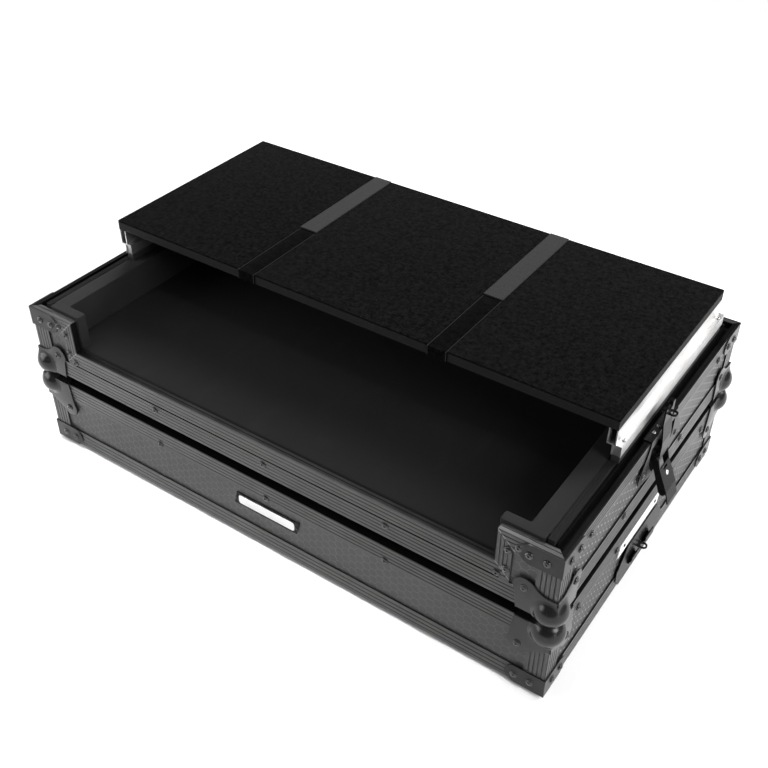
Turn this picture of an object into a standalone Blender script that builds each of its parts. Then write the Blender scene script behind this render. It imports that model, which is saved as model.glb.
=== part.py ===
# DJ controller flight case: the lid stands on the floor with its rim down, the base
# stands on the lid, and a platform slides on the base's side blocks.
# Metres, +X right, +Y back, +Z up, origin on the floor under the middle of the case.

import bpy
import bmesh
from math import cos, sin, radians
from mathutils import Matrix, Vector

for item in list(bpy.data.objects):
    bpy.data.objects.remove(item, do_unlink=True)

# Case sizes
case_width = 0.720
case_depth = 0.460
lid_height = 0.101
base_height = 0.0889
stack_gap = 0.0146
clearance = 0.0003
ply = 0.006
foam_floor_height = 0.0394
lid_foam_thickness = 0.020

# Aluminium bars
bar_skin = 0.0016
bar_chamfer = 0.0006
rib_depth = 0.0006
rib_half_width = 0.0007
edge_flange = 0.0245
rim_flange = 0.020
lid_rim_flange = 0.024
clip_skin = 0.0012
clip_leg = 0.014
clip_top = 0.0024
mitre_gap = 0.0003
front_strip = 0.005
front_groove_width = 0.0009
front_groove_depth = 0.0012
rim_strip = 0.0062
rim_groove_width = 0.0073
rim_groove_depth = 0.006
rim_lip = 0.0012
tongue_height = 0.004
tongue_play = 0.0004
tongue_root = 0.9

# Front cut-out
cutout_margin = 0.0695
past_edge = 0.001
sill_height = 0.0454
sill_flange = 0.0205
upright_flange = 0.0175

# Stacking ball corners and rim braces
ball_radius = 0.018
ball_inset = 0.008
ball_segments = 28
ball_rings = 16
dish_play = 0.00045
corner_plate = 0.0016
lobe_radius = 0.0125
lobe_from_edge = 0.035
base_lobe_height = 0.030
lid_lobe_height = 0.038
corner_foot = 0.042
corner_rise = 0.030
corner_cut_share = 0.7
lobe_waist_drop = 0.35
lobe_waist_reach = 1.35
lobe_rise_share = 0.9
lobe_start = -35
lobe_end = 150
lobe_steps = 12
brace_plate = 0.0012
brace_height = 0.0255
brace_leg = 0.0455
brace_round = 75.0

# Padding inside the base
block_width = 0.0217
block_from_side = 0.046
block_rise = 0.004
pad_from_side = 0.073
pad_depth = 0.0125
pad_outer_from_side = 0.0254
track_width = 0.0072
track_setback = 0.0165
track_front = 0.012

# Sliding platform
board_side_room = 0.0175
board_offset = -0.001
board_depth = 0.284
board_setback = 0.141
board_thickness = 0.0107
board_rise = 0.0455
felt_thickness = 0.002
strap_width = 0.025
strap_offset = 0.132
strap_play = 0.0003
loop_thickness = 0.0012
hook_thickness = 0.0018
hook_length = 0.166
rail_wall = 0.0014
rail_channel = 0.010
rail_shift = 0.006
rail_foot = 0.0105
rail_channel_height = 0.0184
rail_foot_height = 0.0119
glide_gap = 0.0003

# Latches
pocket_half_top = 0.033
pocket_half_bottom = 0.0175
pocket_bottom = 0.0344
pocket_top = 0.0086
dish_wall = 0.0012
dish_lobe_radius = 0.011
dish_lobe_offset = 0.044
dish_lobe_height = 0.0494
dish_throat = 0.0155
dish_overhang = 0.0087
pocket_taper = 0.022
flange_skirt = 0.004
flange_shoulder = 0.002
tab_drop = 0.004
dish_lobe_start = -60
dish_lobe_end = 20
dish_lobe_steps = 4
tab_overlap = 0.001
ear_reach = 0.0022
ear_chamfer = 0.8
ear_chamfer_rise = 0.6
fulcrum_out = 0.001
fulcrum_height = 0.0524
lever_tilt = 24.0
lever_half_width = 0.013
lever_wall = 0.0013
lever_face = 0.0023
lever_plate = 0.0014
lever_face_start = 0.015
lever_face_end = 0.045
lever_lip_end = 0.0605
lever_lip_drop = 0.002
lever_arm_depth = 0.007
lever_head_radius = 0.0045
lever_end_radius = 0.004
lever_head_arc = (80, 235)
lever_tail_arc = (-95, 60)
lever_arc_steps = 6
slot_half_width = 0.0045
slot_start = 0.0175
slot_end = 0.0205
slot_past = 0.006
lever_stud = 0.0022
stud_rise = 0.0009
pin_radius = 0.0015
pin_steps = 12
ear_wall = 0.0012
ear_gap = 0.0006
claw_pin_along = 0.0045
claw_pin_in = 0.001
claw_plate = 0.0015
claw_out = 0.0049
claw_lean_start = 0.0744
claw_upright_start = 0.0984
claw_top = 0.118
claw_upright_out = 0.0019
claw_hook_reach = 0.0045
claw_half_width = 0.012
claw_neck_half_width = 0.0111
claw_foot = 0.0018
claw_neck_taper = 0.006
claw_ear_reach = 0.0016
claw_ear_arc = (135, 315)
claw_ear_steps = 6
claw_ear_height = 0.012
prong_gap_depth = 0.006
hook_drop = 0.004
hook_lead = 0.001
hook_fillet = 0.0006
outside = 0.020
prong_width = 0.006
eye_radius = 0.005
eye_hole_radius = 0.0032
eye_thickness = 0.0016
eye_opening = 110
claw_eye_height = 0.1084
eye_out = 0.0066
keeper_half_width = 0.062
keeper_height = 0.057
keeper_foot = 0.002
keeper_plate = 0.0012
keeper_lip_inner = 0.008
keeper_lip_outer = 0.030
keeper_lip_height = 0.030
keeper_lip_reach = 0.0062
keeper_lip_wall = 0.0014
keeper_lip_root = 0.0105
keeper_lip_bend = 0.003
keeper_lip_tip = 0.0012
keeper_foot_cut = 0.012
keeper_side_low = 0.016
keeper_side_high = 0.030
keeper_head_cut = 0.022
staple_height = 0.026

# Badges
badge_length = 0.092
badge_height = 0.019
badge_slant = 0.005
badge_plate = 0.001
badge_centre_x = -0.002
badge_centre_height = 0.0565
side_badge_length = 0.108
side_badge_centre_y = -0.008
side_badge_centre_height = 0.066

# Worked out from the sizes above
half_width = case_width / 2
half_depth = case_depth / 2
lid_edge = tongue_height
lid_top = lid_edge + lid_height
base_bottom = lid_top + stack_gap
rim_top = base_bottom + base_height
sill_top = base_bottom + sill_height
panel_out = bar_skin + clearance
panel_in = panel_out + ply
clip_depth = panel_in + clearance + clip_skin
foam_top = base_bottom + bar_skin + clearance + ply + clearance + foam_floor_height
rim_depth = rim_strip + rim_groove_width + rim_lip
rim_bridge = rim_groove_depth + bar_skin
lining = clip_depth + clearance
cutout_half_width = half_width - cutout_margin
block_inner = half_width - block_from_side
pad_inner = half_width - pad_from_side
pad_outer = half_width - pad_outer_from_side
board_width = case_width - 2 * board_side_room


# Colours of the pieces
def make_material(name, colour, roughness, metallic):
    material = bpy.data.materials.new(name)
    material.use_nodes = True
    shader = material.node_tree.nodes["Principled BSDF"]
    shader.inputs["Base Color"].default_value = (*colour, 1.0)
    shader.inputs["Roughness"].default_value = roughness
    shader.inputs["Metallic"].default_value = metallic
    return material


laminate = ("laminate", (0.035, 0.034, 0.036), 0.45, 0.0)
black_bar = ("black_bar", (0.035, 0.034, 0.036), 0.38, 0.8)
black_steel = ("black_steel", (0.02, 0.02, 0.021), 0.28, 0.9)
black_foam = ("black_foam", (0.012, 0.011, 0.012), 0.95, 0.0)
block_foam = ("block_foam", (0.05, 0.049, 0.05), 0.8, 0.0)
black_felt = ("black_felt", (0.01, 0.01, 0.01), 1.0, 0.0)
hook_grey = ("hook_grey", (0.075, 0.075, 0.078), 0.7, 0.0)
bright_rail = ("bright_rail", (0.8, 0.8, 0.8), 0.35, 1.0)
black_plastic = ("black_plastic", (0.015, 0.015, 0.015), 0.5, 0.0)
badge_white = ("badge_white", (0.9, 0.9, 0.9), 0.35, 0.0)


# Meshes to objects
def finish(name, mesh, look, at=(0.0, 0.0, 0.0)):
    bmesh.ops.recalc_face_normals(mesh, faces=mesh.faces)
    data = bpy.data.meshes.new(name)
    mesh.to_mesh(data)
    mesh.free()
    data.transform(Matrix.Translation(-Vector(at)))
    item = bpy.data.objects.new(name, data)
    item.location = at
    item.data.materials.append(make_material(name + "_" + look[0], *look[1:]))
    bpy.context.scene.collection.objects.link(item)
    return item


# Extrudes a flat outline from one level to another along the axis that the plane leaves out
def prism(mesh, outline, plane, low, high):
    spots = {
        "xy": lambda a, b, level: (a, b, level),
        "xz": lambda a, b, level: (a, level, b),
        "yz": lambda a, b, level: (level, a, b),
    }[plane]
    ring = [mesh.verts.new(spots(a, b, low)) for a, b in outline]
    face = mesh.faces.new(ring)
    grown = bmesh.ops.extrude_face_region(mesh, geom=[face])
    new_points = [piece for piece in grown["geom"] if isinstance(piece, bmesh.types.BMVert)]
    shift = Vector(spots(0.0, 0.0, high - low))
    bmesh.ops.translate(mesh, verts=new_points, vec=shift)


def box(mesh, low, high):
    outline = [(low[0], low[1]), (high[0], low[1]), (high[0], high[1]), (low[0], high[1])]
    prism(mesh, outline, "xy", low[2], high[2])


def arc(centre, radius, start, end, steps):
    points = []
    for index in range(steps + 1):
        angle = radians(start + (end - start) * index / steps)
        points.append((centre[0] + radius * cos(angle), centre[1] + radius * sin(angle)))
    return points


def circle(centre, radius, steps):
    return arc(centre, radius, 0, 360, steps)[:-1]


# Extrudes a bar's section, whose ends follow the mitres that start_at and end_at give
def bar(mesh, section, origin, along, inward, up, start_at, end_at):
    origin, along, inward, up = Vector(origin), Vector(along), Vector(inward), Vector(up)
    ring = []
    for depth, height in section:
        spot = origin + inward * depth + up * height + along * start_at(depth, height)
        ring.append(mesh.verts.new(spot))
    face = mesh.faces.new(ring)
    grown = bmesh.ops.extrude_face_region(mesh, geom=[face])
    for piece in grown["geom"]:
        if isinstance(piece, bmesh.types.BMVert):
            offset = piece.co - origin
            depth = offset.dot(inward)
            height = offset.dot(up)
            piece.co += along * (end_at(depth, height) - start_at(depth, height))


# The four sides of the case: middle of the outer face, run of the bar, way in, half length
case_sides = {
    "front": ((0, -half_depth, 0), (1, 0, 0), (0, 1, 0), half_width),
    "back": ((0, half_depth, 0), (-1, 0, 0), (0, -1, 0), half_width),
    "right": ((half_width, 0, 0), (0, 1, 0), (-1, 0, 0), half_depth),
    "left": ((-half_width, 0, 0), (0, -1, 0), (1, 0, 0), half_depth),
}


# One bar of a ring round the case
def ring_bar(mesh, section, side):
    origin, along, inward, half = case_sides[side]

    def start_at(depth, height):
        return -(half - depth - mitre_gap)

    def end_at(depth, height):
        return half - depth - mitre_gap

    bar(mesh, section, origin, along, inward, (0, 0, 1), start_at, end_at)


# Joins a section's copies at the given stations; a closed loft returns to its first station
def loft(mesh, section, stations, closed):
    rings = [[mesh.verts.new(station(depth, height)) for depth, height in section] for station in stations]
    count = len(section)
    spans = len(rings) if closed else len(rings) - 1
    for index in range(spans):
        near = rings[index]
        far = rings[(index + 1) % len(rings)]
        for spot in range(count):
            after = (spot + 1) % count
            mesh.faces.new([near[spot], near[after], far[after], far[spot]])
    if not closed:
        mesh.faces.new(rings[0])
        mesh.faces.new(rings[-1])


# The case's four corners as stations of a mitred frame
def corner_station(x_way, y_way):
    return lambda depth, height: (x_way * (half_width - depth), y_way * (half_depth - depth), height)


def frame_ring(mesh, section):
    corners = ((-1, -1), (1, -1), (1, 1), (-1, 1))
    loft(mesh, section, [corner_station(a, b) for a, b in corners], True)


# Outer face of a flange from low to high, with count V grooves
def ribbed(low, high, count):
    points = []
    step = (high - low) / (count + 1)
    half = rib_half_width if high > low else -rib_half_width
    for index in range(count):
        middle = low + step * (index + 1)
        points.append((0.0, middle - half))
        points.append((rib_depth, middle))
        points.append((0.0, middle + half))
    return points


# Angle bar along a closed edge: edge is its outer level, way is +1 where the flange rises
def angle_section(edge, way):
    def level(rise):
        return edge + way * rise

    points = [(0.0, level(bar_chamfer))]
    points += ribbed(level(0.0), level(edge_flange), 4)
    points += [(0.0, level(edge_flange)), (bar_skin, level(edge_flange))]
    points += [(bar_skin, level(bar_skin)), (edge_flange, level(bar_skin))]
    points += [(edge_flange, level(0.0)), (bar_chamfer, level(0.0))]
    return points


# Clip bar over a panel's open edge: drops are measured from the edge into the panel
def clip_section(flange, with_groove, level):
    points = [(0.0, level(flange))]
    points += [(depth, level(drop)) for depth, drop in ribbed(flange, 0.0, 3)]
    points += [(0.0, level(bar_chamfer)), (bar_chamfer, level(0.0))]
    if with_groove:
        groove_end = front_strip + front_groove_width
        points += [(front_strip, level(0.0)), (front_strip, level(front_groove_depth))]
        points += [(groove_end, level(front_groove_depth)), (groove_end, level(0.0))]
    points += [(clip_depth, level(0.0)), (clip_depth, level(clip_leg))]
    points += [(clip_depth - clip_skin, level(clip_leg)), (clip_depth - clip_skin, level(clip_top))]
    points += [(bar_skin, level(clip_top)), (bar_skin, level(flange))]
    return points


# Base rim bar with the groove that takes the lid's tongue
def groove_section():
    wall = rim_strip + rim_groove_width
    points = [(0.0, rim_top - rim_flange)]
    points += ribbed(rim_top - rim_flange, rim_top, 3)
    points += [(0.0, rim_top - bar_chamfer), (bar_chamfer, rim_top), (rim_strip, rim_top)]
    points += [(rim_strip, rim_top - rim_groove_depth), (wall, rim_top - rim_groove_depth)]
    points += [(wall, rim_top), (rim_depth, rim_top), (rim_depth, rim_top - rim_bridge)]
    points += [(clip_depth, rim_top - rim_bridge), (clip_depth, rim_top - clip_leg)]
    points += [(clip_depth - clip_skin, rim_top - clip_leg), (clip_depth - clip_skin, rim_top - rim_bridge)]
    points += [(bar_skin, rim_top - rim_bridge), (bar_skin, rim_top - rim_flange)]
    return points


# Tongue under the lid's rim, for the groove in the base's side and back bars
def tongue_section():
    tongue_out = rim_strip + tongue_play
    tongue_in = rim_strip + rim_groove_width - tongue_play
    low = lid_edge - tongue_height
    high = lid_edge + clip_top * tongue_root
    return [(tongue_out, low), (tongue_in, low), (tongue_in, high), (tongue_out, high)]


# Joins or cuts one object with another, which is used up
def combine(target, other, operation):
    modifier = target.modifiers.new(operation, "BOOLEAN")
    modifier.operation = operation
    modifier.object = other
    modifier.solver = "EXACT"
    graph = bpy.context.evaluated_depsgraph_get()
    data = bpy.data.meshes.new_from_object(target.evaluated_get(graph))
    target.modifiers.clear()
    target.data = data
    bpy.data.objects.remove(other, do_unlink=True)


# A helper solid that a Boolean uses up
def helper(build):
    mesh = bmesh.new()
    build(mesh)
    return finish("helper", mesh, black_steel)


# Makes the piece at the front right corner into one piece for each corner
def at_all_corners(item, look):
    base_name = item.name
    for y_name, y_way in (("front", 1), ("back", -1)):
        for x_name, x_way in (("right", 1), ("left", -1)):
            data = item.data.copy()
            data.transform(Matrix.Diagonal((x_way, y_way, 1.0, 1.0)))
            if x_way * y_way < 0:
                data.flip_normals()
            name = base_name + "_" + y_name + "_" + x_name
            data.materials.clear()
            data.materials.append(make_material(name + "_" + look[0], *look[1:]))
            copy = bpy.data.objects.new(name, data)
            bpy.context.scene.collection.objects.link(copy)
    bpy.data.objects.remove(item, do_unlink=True)


# Lid panels: the top lies under the top bars' flange, the walls stand between it and the rim
def make_lid_panels():
    top_high = lid_top - bar_skin - clearance
    top_low = top_high - ply
    wall_high = top_low - clearance
    wall_low = lid_edge + clip_top + clearance
    wide = half_width - panel_out
    deep = half_depth - panel_out
    inner_deep = deep - ply - clearance
    mesh = bmesh.new()
    box(mesh, (-wide, -deep, top_low), (wide, deep, top_high))
    finish("lid_top_panel", mesh, laminate)
    for name, way in (("front", -1), ("back", 1)):
        mesh = bmesh.new()
        near, far = sorted((way * deep, way * (deep - ply)))
        box(mesh, (-wide, near, wall_low), (wide, far, wall_high))
        finish("lid_" + name + "_panel", mesh, laminate)
    for name, way in (("left", -1), ("right", 1)):
        mesh = bmesh.new()
        near, far = sorted((way * wide, way * (wide - ply)))
        box(mesh, (near, -inner_deep, wall_low), (far, inner_deep, wall_high))
        finish("lid_" + name + "_panel", mesh, laminate)
    mesh = bmesh.new()
    foam_high = top_low - clearance
    foam_wide = half_width - lining
    foam_deep = half_depth - lining
    box(mesh, (-foam_wide, -foam_deep, foam_high - lid_foam_thickness), (foam_wide, foam_deep, foam_high))
    finish("lid_foam", mesh, black_foam)


# Corner post: an angle with ribs on both outer faces, butted on the edge bars' flanges
def add_corner_posts(frame, low, high):
    face = ribbed(0.0, edge_flange, 4)
    outline = [(0.0, bar_chamfer)] + face + [(0.0, edge_flange), (bar_skin, edge_flange)]
    outline += [(bar_skin, bar_skin), (edge_flange, bar_skin), (edge_flange, 0.0)]
    outline += [(along, depth) for depth, along in reversed(face)]
    outline += [(bar_chamfer, 0.0)]
    for x_way in (-1, 1):
        for y_way in (-1, 1):
            placed = [(x_way * (half_width - a), y_way * (half_depth - b)) for a, b in outline]
            combine(frame, helper(lambda post: prism(post, placed, "xy", low, high)), "UNION")


# Lid frames: the closed edge with its corner posts, and the rim with its tongue
def make_lid_frames():
    mesh = bmesh.new()
    frame_ring(mesh, angle_section(lid_top, -1))
    frame = finish("lid_edge_frame", mesh, black_bar)
    seat = lid_top - edge_flange + clearance
    add_corner_posts(frame, lid_edge + lid_rim_flange + clearance, seat)
    mesh = bmesh.new()
    frame_ring(mesh, clip_section(lid_rim_flange, False, lambda drop: lid_edge + drop))
    rim = finish("lid_rim_frame", mesh, black_bar)

    def tongue(part):
        def front_end(x_way):
            start = -half_depth + clip_depth * tongue_root
            return lambda depth, height: (x_way * (half_width - depth), start, height)

        stations = [front_end(-1), corner_station(-1, 1), corner_station(1, 1), front_end(1)]
        loft(part, tongue_section(), stations, False)

    combine(rim, helper(tongue), "UNION")


# Outline of a ball corner's leg on one face: distances from the edge and the closed face
def leg_outline(lobe_height):
    lobe = (lobe_from_edge, lobe_height)
    wrap = -clearance - corner_plate
    points = [(wrap, wrap), (corner_foot, wrap)]
    points += arc(lobe, lobe_radius, lobe_start, lobe_end, lobe_steps)
    waist = lobe_height - lobe_radius * lobe_waist_drop
    rise = max(corner_rise, waist * lobe_rise_share)
    shoulder = lobe_from_edge - lobe_radius * lobe_waist_reach
    points += [(shoulder, waist), (corner_plate, rise), (wrap, rise)]
    return points


# Ball corners: a stamped ball round each closed corner with a leg on each face
def make_ball_corners(name, closed, way, lobe_height):
    corner = Vector((half_width, -half_depth, closed))
    middle = corner + Vector((-ball_inset, ball_inset, way * ball_inset))
    mesh = bmesh.new()
    bmesh.ops.create_uvsphere(
        mesh, u_segments=ball_segments, v_segments=ball_rings, radius=ball_radius,
        matrix=Matrix.Translation(middle),
    )
    item = finish(name, mesh, black_steel)

    def front_leg(leg):
        outline = [(half_width - a, closed + way * b) for a, b in leg_outline(lobe_height)]
        prism(leg, outline, "xz", -half_depth - clearance - corner_plate, -half_depth - clearance)

    def side_leg(leg):
        outline = [(-half_depth + a, closed + way * b) for a, b in leg_outline(lobe_height)]
        prism(leg, outline, "yz", half_width + clearance, half_width + clearance + corner_plate)

    def closed_leg(leg):
        foot = corner_foot
        wrap = -clearance - corner_plate
        cut = foot * corner_cut_share
        outline = [(wrap, wrap), (foot, wrap), (cut, cut), (wrap, foot)]
        placed = [(half_width - a, -half_depth + b) for a, b in outline]
        levels = sorted((closed - way * clearance, closed - way * (clearance + corner_plate)))
        prism(leg, placed, "xy", levels[0], levels[1])

    def case_body(body):
        # The ball ends inside the legs, which seat on the bars
        seat = clearance + corner_plate / 2
        levels = sorted((closed - way * seat, closed + way * 3 * ball_radius))
        low = (half_width - 3 * ball_radius, -half_depth - seat, levels[0])
        high = (half_width + seat, -half_depth + 3 * ball_radius, levels[1])
        box(body, low, high)

    combine(item, helper(case_body), "DIFFERENCE")
    for leg in (front_leg, side_leg, closed_leg):
        combine(item, helper(leg), "UNION")
    return item, middle


def make_corners():
    lid_item, lid_ball = make_ball_corners("lid_ball_corner", lid_top, -1, lid_lobe_height)
    base_item, base_ball = make_ball_corners("base_ball_corner", base_bottom, 1, base_lobe_height)

    def dish(cutter):
        bmesh.ops.create_uvsphere(
            cutter, u_segments=ball_segments, v_segments=ball_rings,
            radius=ball_radius + dish_play, matrix=Matrix.Translation(base_ball),
        )

    combine(lid_item, helper(dish), "DIFFERENCE")
    at_all_corners(lid_item, black_steel)
    at_all_corners(base_item, black_steel)


# Braces: plates folded round the rim's corners, with round ends
def make_braces(name, low):
    middle = brace_height / 2

    def leg_points():
        end = brace_leg - middle
        points = [(-clearance - brace_plate, 0.0), (end, 0.0)]
        points += arc((end, middle), middle, -brace_round, brace_round, 8)
        points += [(end, brace_height), (-clearance - brace_plate, brace_height)]
        return points

    mesh = bmesh.new()
    front = [(half_width - a, low + b) for a, b in leg_points()]
    prism(mesh, front, "xz", -half_depth - clearance - brace_plate, -half_depth - clearance)
    item = finish(name, mesh, black_bar)

    def side_leg(leg):
        outline = [(-half_depth + a, low + b) for a, b in leg_points()]
        prism(leg, outline, "yz", half_width + clearance, half_width + clearance + brace_plate)

    combine(item, helper(side_leg), "UNION")
    at_all_corners(item, black_bar)


# Base panels
def make_base_panels():
    floor_low = base_bottom + bar_skin + clearance
    floor_high = floor_low + ply
    wall_low = floor_high + clearance
    wall_high = rim_top - rim_bridge - clearance
    wide = half_width - panel_out
    deep = half_depth - panel_out
    inner_deep = deep - ply - clearance
    mesh = bmesh.new()
    box(mesh, (-wide, -deep, floor_low), (wide, deep, floor_high))
    finish("base_bottom_panel", mesh, laminate)
    mesh = bmesh.new()
    edge = cutout_half_width + clip_top + clearance
    sill = sill_top - clip_top - clearance
    post_top = rim_top - clip_top - clearance
    shoulder = half_width - clip_depth - clearance
    outline = [(wide, wall_low), (wide, wall_high), (shoulder, wall_high), (shoulder, post_top)]
    outline += [(edge, post_top), (edge, sill)]
    outline += [(-a, b) for a, b in reversed(outline)]
    prism(mesh, outline, "xz", -deep, -deep + ply)
    finish("base_front_panel", mesh, laminate)
    mesh = bmesh.new()
    box(mesh, (-wide, deep - ply, wall_low), (wide, deep, wall_high))
    finish("base_back_panel", mesh, laminate)
    for name, way in (("left", -1), ("right", 1)):
        mesh = bmesh.new()
        cut = pocket_half_top + clearance
        cut_low = base_bottom + pocket_bottom - clearance
        outline = [(-inner_deep, wall_low), (inner_deep, wall_low), (inner_deep, wall_high)]
        outline += [(cut, wall_high), (cut, cut_low), (-cut, cut_low), (-cut, wall_high)]
        outline += [(-inner_deep, wall_high)]
        near, far = sorted((way * wide, way * (wide - ply)))
        prism(mesh, outline, "yz", near, far)
        finish("base_" + name + "_panel", mesh, laminate)


# Base bars: the closed edge with its posts, and the grooved rim on three sides
def make_base_frames():
    mesh = bmesh.new()
    frame_ring(mesh, angle_section(base_bottom, 1))
    frame = finish("base_edge_frame", mesh, black_bar)
    add_corner_posts(frame, base_bottom + edge_flange - clearance, rim_top - rim_flange - clearance)
    mesh = bmesh.new()
    ring_bar(mesh, groove_section(), "back")
    finish("base_rim_bar_back", mesh, black_bar)
    for name, way in (("left", -1), ("right", 1)):
        mesh = bmesh.new()
        ring_bar(mesh, groove_section(), name)
        item = finish("base_rim_bar_" + name, mesh, black_bar)

        def front_end(cutter):
            # The front bar's mitre, then a square end where the side bar is wider
            past = past_edge
            inner = half_width - clip_depth
            end = -half_depth + clip_depth + mitre_gap
            outline = [(half_width + past, -half_depth - past + mitre_gap), (inner, end)]
            outline += [(half_width - 2 * rim_depth, end)]
            outline += [(half_width - 2 * rim_depth, -half_depth - 2 * past)]
            outline += [(half_width + past, -half_depth - 2 * past)]
            levels = (rim_top - 2 * rim_flange, rim_top + past)
            prism(cutter, [(way * a, b) for a, b in outline], "xy", levels[0], levels[1])

        def notch(cutter):
            cut = pocket_half_top + clearance
            outer = half_width + 2 * clearance
            near, far = sorted((way * outer, way * (half_width - bar_skin - clearance)))
            top = rim_top - pocket_top + clearance
            box(cutter, (near, -cut, rim_top - 2 * rim_flange), (far, cut, top))

        combine(item, helper(front_end), "DIFFERENCE")
        combine(item, helper(notch), "DIFFERENCE")


# One ribbed clip round the front posts and the cut-out, mitred at each bend
def make_cutout_frame():
    upright_share = upright_flange / rim_flange
    sill_share = sill_flange / rim_flange

    def outer(way):
        return lambda depth, drop: (way * (half_width - depth), -half_depth + depth, rim_top - drop)

    def shoulder(way):
        return lambda depth, drop: (
            way * (cutout_half_width + drop * upright_share), -half_depth + depth, rim_top - drop,
        )

    def foot(way):
        return lambda depth, drop: (
            way * (cutout_half_width + drop * upright_share),
            -half_depth + depth,
            sill_top - drop * sill_share,
        )

    mesh = bmesh.new()
    section = clip_section(rim_flange, True, lambda drop: drop)
    stations = [outer(-1), shoulder(-1), foot(-1), foot(1), shoulder(1), outer(1)]
    loft(mesh, section, stations, False)
    finish("cutout_frame", mesh, black_bar)


# Padding: the foam floor, the two side blocks that carry the platform, and their strips
def make_padding():
    wide = half_width - lining
    deep = half_depth - lining
    floor_low = base_bottom + bar_skin + clearance + ply + clearance
    mesh = bmesh.new()
    box(mesh, (-wide, -deep, floor_low), (wide, deep, foam_top))
    finish("foam_floor", mesh, black_foam)
    low = foam_top + clearance
    high = rim_top + block_rise
    pad_back = -deep + pad_depth
    back_end = half_depth - rim_depth - clearance
    for name, way in (("left", -1), ("right", 1)):
        mesh = bmesh.new()
        front = -deep
        slot_back = -half_depth + track_front + track_setback - lining
        block_outer = block_inner + block_width
        outline = [(pad_inner, front), (pad_outer, front), (pad_outer, slot_back), (block_outer, slot_back)]
        outline += [(block_outer, back_end), (block_inner, back_end)]
        outline += [(block_inner, pad_back), (pad_inner, pad_back)]
        prism(mesh, [(way * a, b) for a, b in outline], "xy", low, high)
        finish("side_block_" + name, mesh, block_foam)
        outer = half_width - track_setback
        foot = half_width - lining
        shelf = rim_top - clip_leg - 2 * clearance
        inner = outer - track_width
        outline = [(inner, low), (foot, low), (foot, shelf), (outer, shelf), (outer, high), (inner, high)]
        mesh = bmesh.new()
        prism(mesh, [(way * a, b) for a, b in outline], "xz", -half_depth + track_front, back_end)
        finish("track_strip_" + name, mesh, black_felt)


# Sliding platform
def make_platform():
    board_low = rim_top + board_rise
    board_high = board_low + board_thickness
    felt_low = board_high + clearance
    felt_high = felt_low + felt_thickness
    left = board_offset - board_width / 2
    right = board_offset + board_width / 2
    front = -half_depth + board_setback
    back = front + board_depth
    mesh = bmesh.new()
    box(mesh, (left, front, board_low), (right, back, board_high))
    finish("platform_board", mesh, black_plastic)
    lane = strap_width / 2 + strap_play
    fields = {
        "left": (left, -strap_offset - lane),
        "middle": (-strap_offset + lane, strap_offset - lane),
        "right": (strap_offset + lane, right),
    }
    for name, (start, end) in fields.items():
        mesh = bmesh.new()
        box(mesh, (start, front, felt_low), (end, back, felt_high))
        finish("platform_felt_" + name, mesh, black_felt)
    for name, way in (("left", -1), ("right", 1)):
        start = way * strap_offset - strap_width / 2
        end = way * strap_offset + strap_width / 2
        top = felt_low + loop_thickness
        face = front - clearance
        outline = [(back, felt_low), (back, top), (face - loop_thickness, top)]
        outline += [(face - loop_thickness, board_low), (face, board_low), (face, felt_low)]
        mesh = bmesh.new()
        prism(mesh, outline, "yz", start, end)
        finish("loop_strip_" + name, mesh, black_felt)
        mesh = bmesh.new()
        low = top + clearance
        box(mesh, (start, back - hook_length, low), (end, back - 2 * clearance, low + hook_thickness))
        finish("hook_strap_" + name, mesh, hook_grey)
    channel_top = board_low - clearance
    web_top = channel_top - rail_channel_height
    web_low = web_top - rail_wall
    foot_low = web_low - rail_foot_height
    for name, start in (("left", left), ("right", right - rail_channel)):
        foot = start + rail_shift
        end = foot + rail_foot
        outline = [(start, channel_top), (start, web_low), (foot, web_low), (foot, foot_low)]
        outline += [(foot + rail_wall, foot_low), (foot + rail_wall, web_low), (end - rail_wall, web_low)]
        outline += [(end - rail_wall, foot_low), (end, foot_low), (end, web_top)]
        outline += [(start + rail_channel, web_top), (start + rail_channel, channel_top)]
        outline += [(start + rail_channel - rail_wall, channel_top)]
        outline += [(start + rail_channel - rail_wall, web_top), (start + rail_wall, web_top)]
        outline += [(start + rail_wall, channel_top)]
        mesh = bmesh.new()
        prism(mesh, outline, "xz", front, back)
        rail = finish("platform_rail_" + name, mesh, bright_rail)

        def glide(part):
            sunk = rail_wall / 2
            low = (foot + sunk, front + rail_wall, rim_top + block_rise + glide_gap)
            high = (end - sunk, back - rail_wall, web_low + sunk)
            box(part, low, high)

        combine(rail, helper(glide), "UNION")


# Badges: blank white plates with slanted ends on the lid's front and right panels
def make_badges():
    def slanted(length, centre, middle):
        half = length / 2
        lean = badge_slant / 2
        points = [(-half - lean, -badge_height / 2), (half - lean, -badge_height / 2)]
        points += [(half + lean, badge_height / 2), (-half + lean, badge_height / 2)]
        return [(centre + a, middle + b) for a, b in points]

    back = -half_depth + panel_out - clearance
    outline = slanted(badge_length, badge_centre_x, lid_edge + badge_centre_height)
    mesh = bmesh.new()
    prism(mesh, outline, "xz", back - badge_plate, back)
    finish("front_badge", mesh, badge_white)
    back = half_width - panel_out + clearance
    outline = slanted(side_badge_length, side_badge_centre_y, lid_edge + side_badge_centre_height)
    mesh = bmesh.new()
    prism(mesh, outline, "yz", back, back + badge_plate)
    finish("side_badge", mesh, badge_white)


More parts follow.
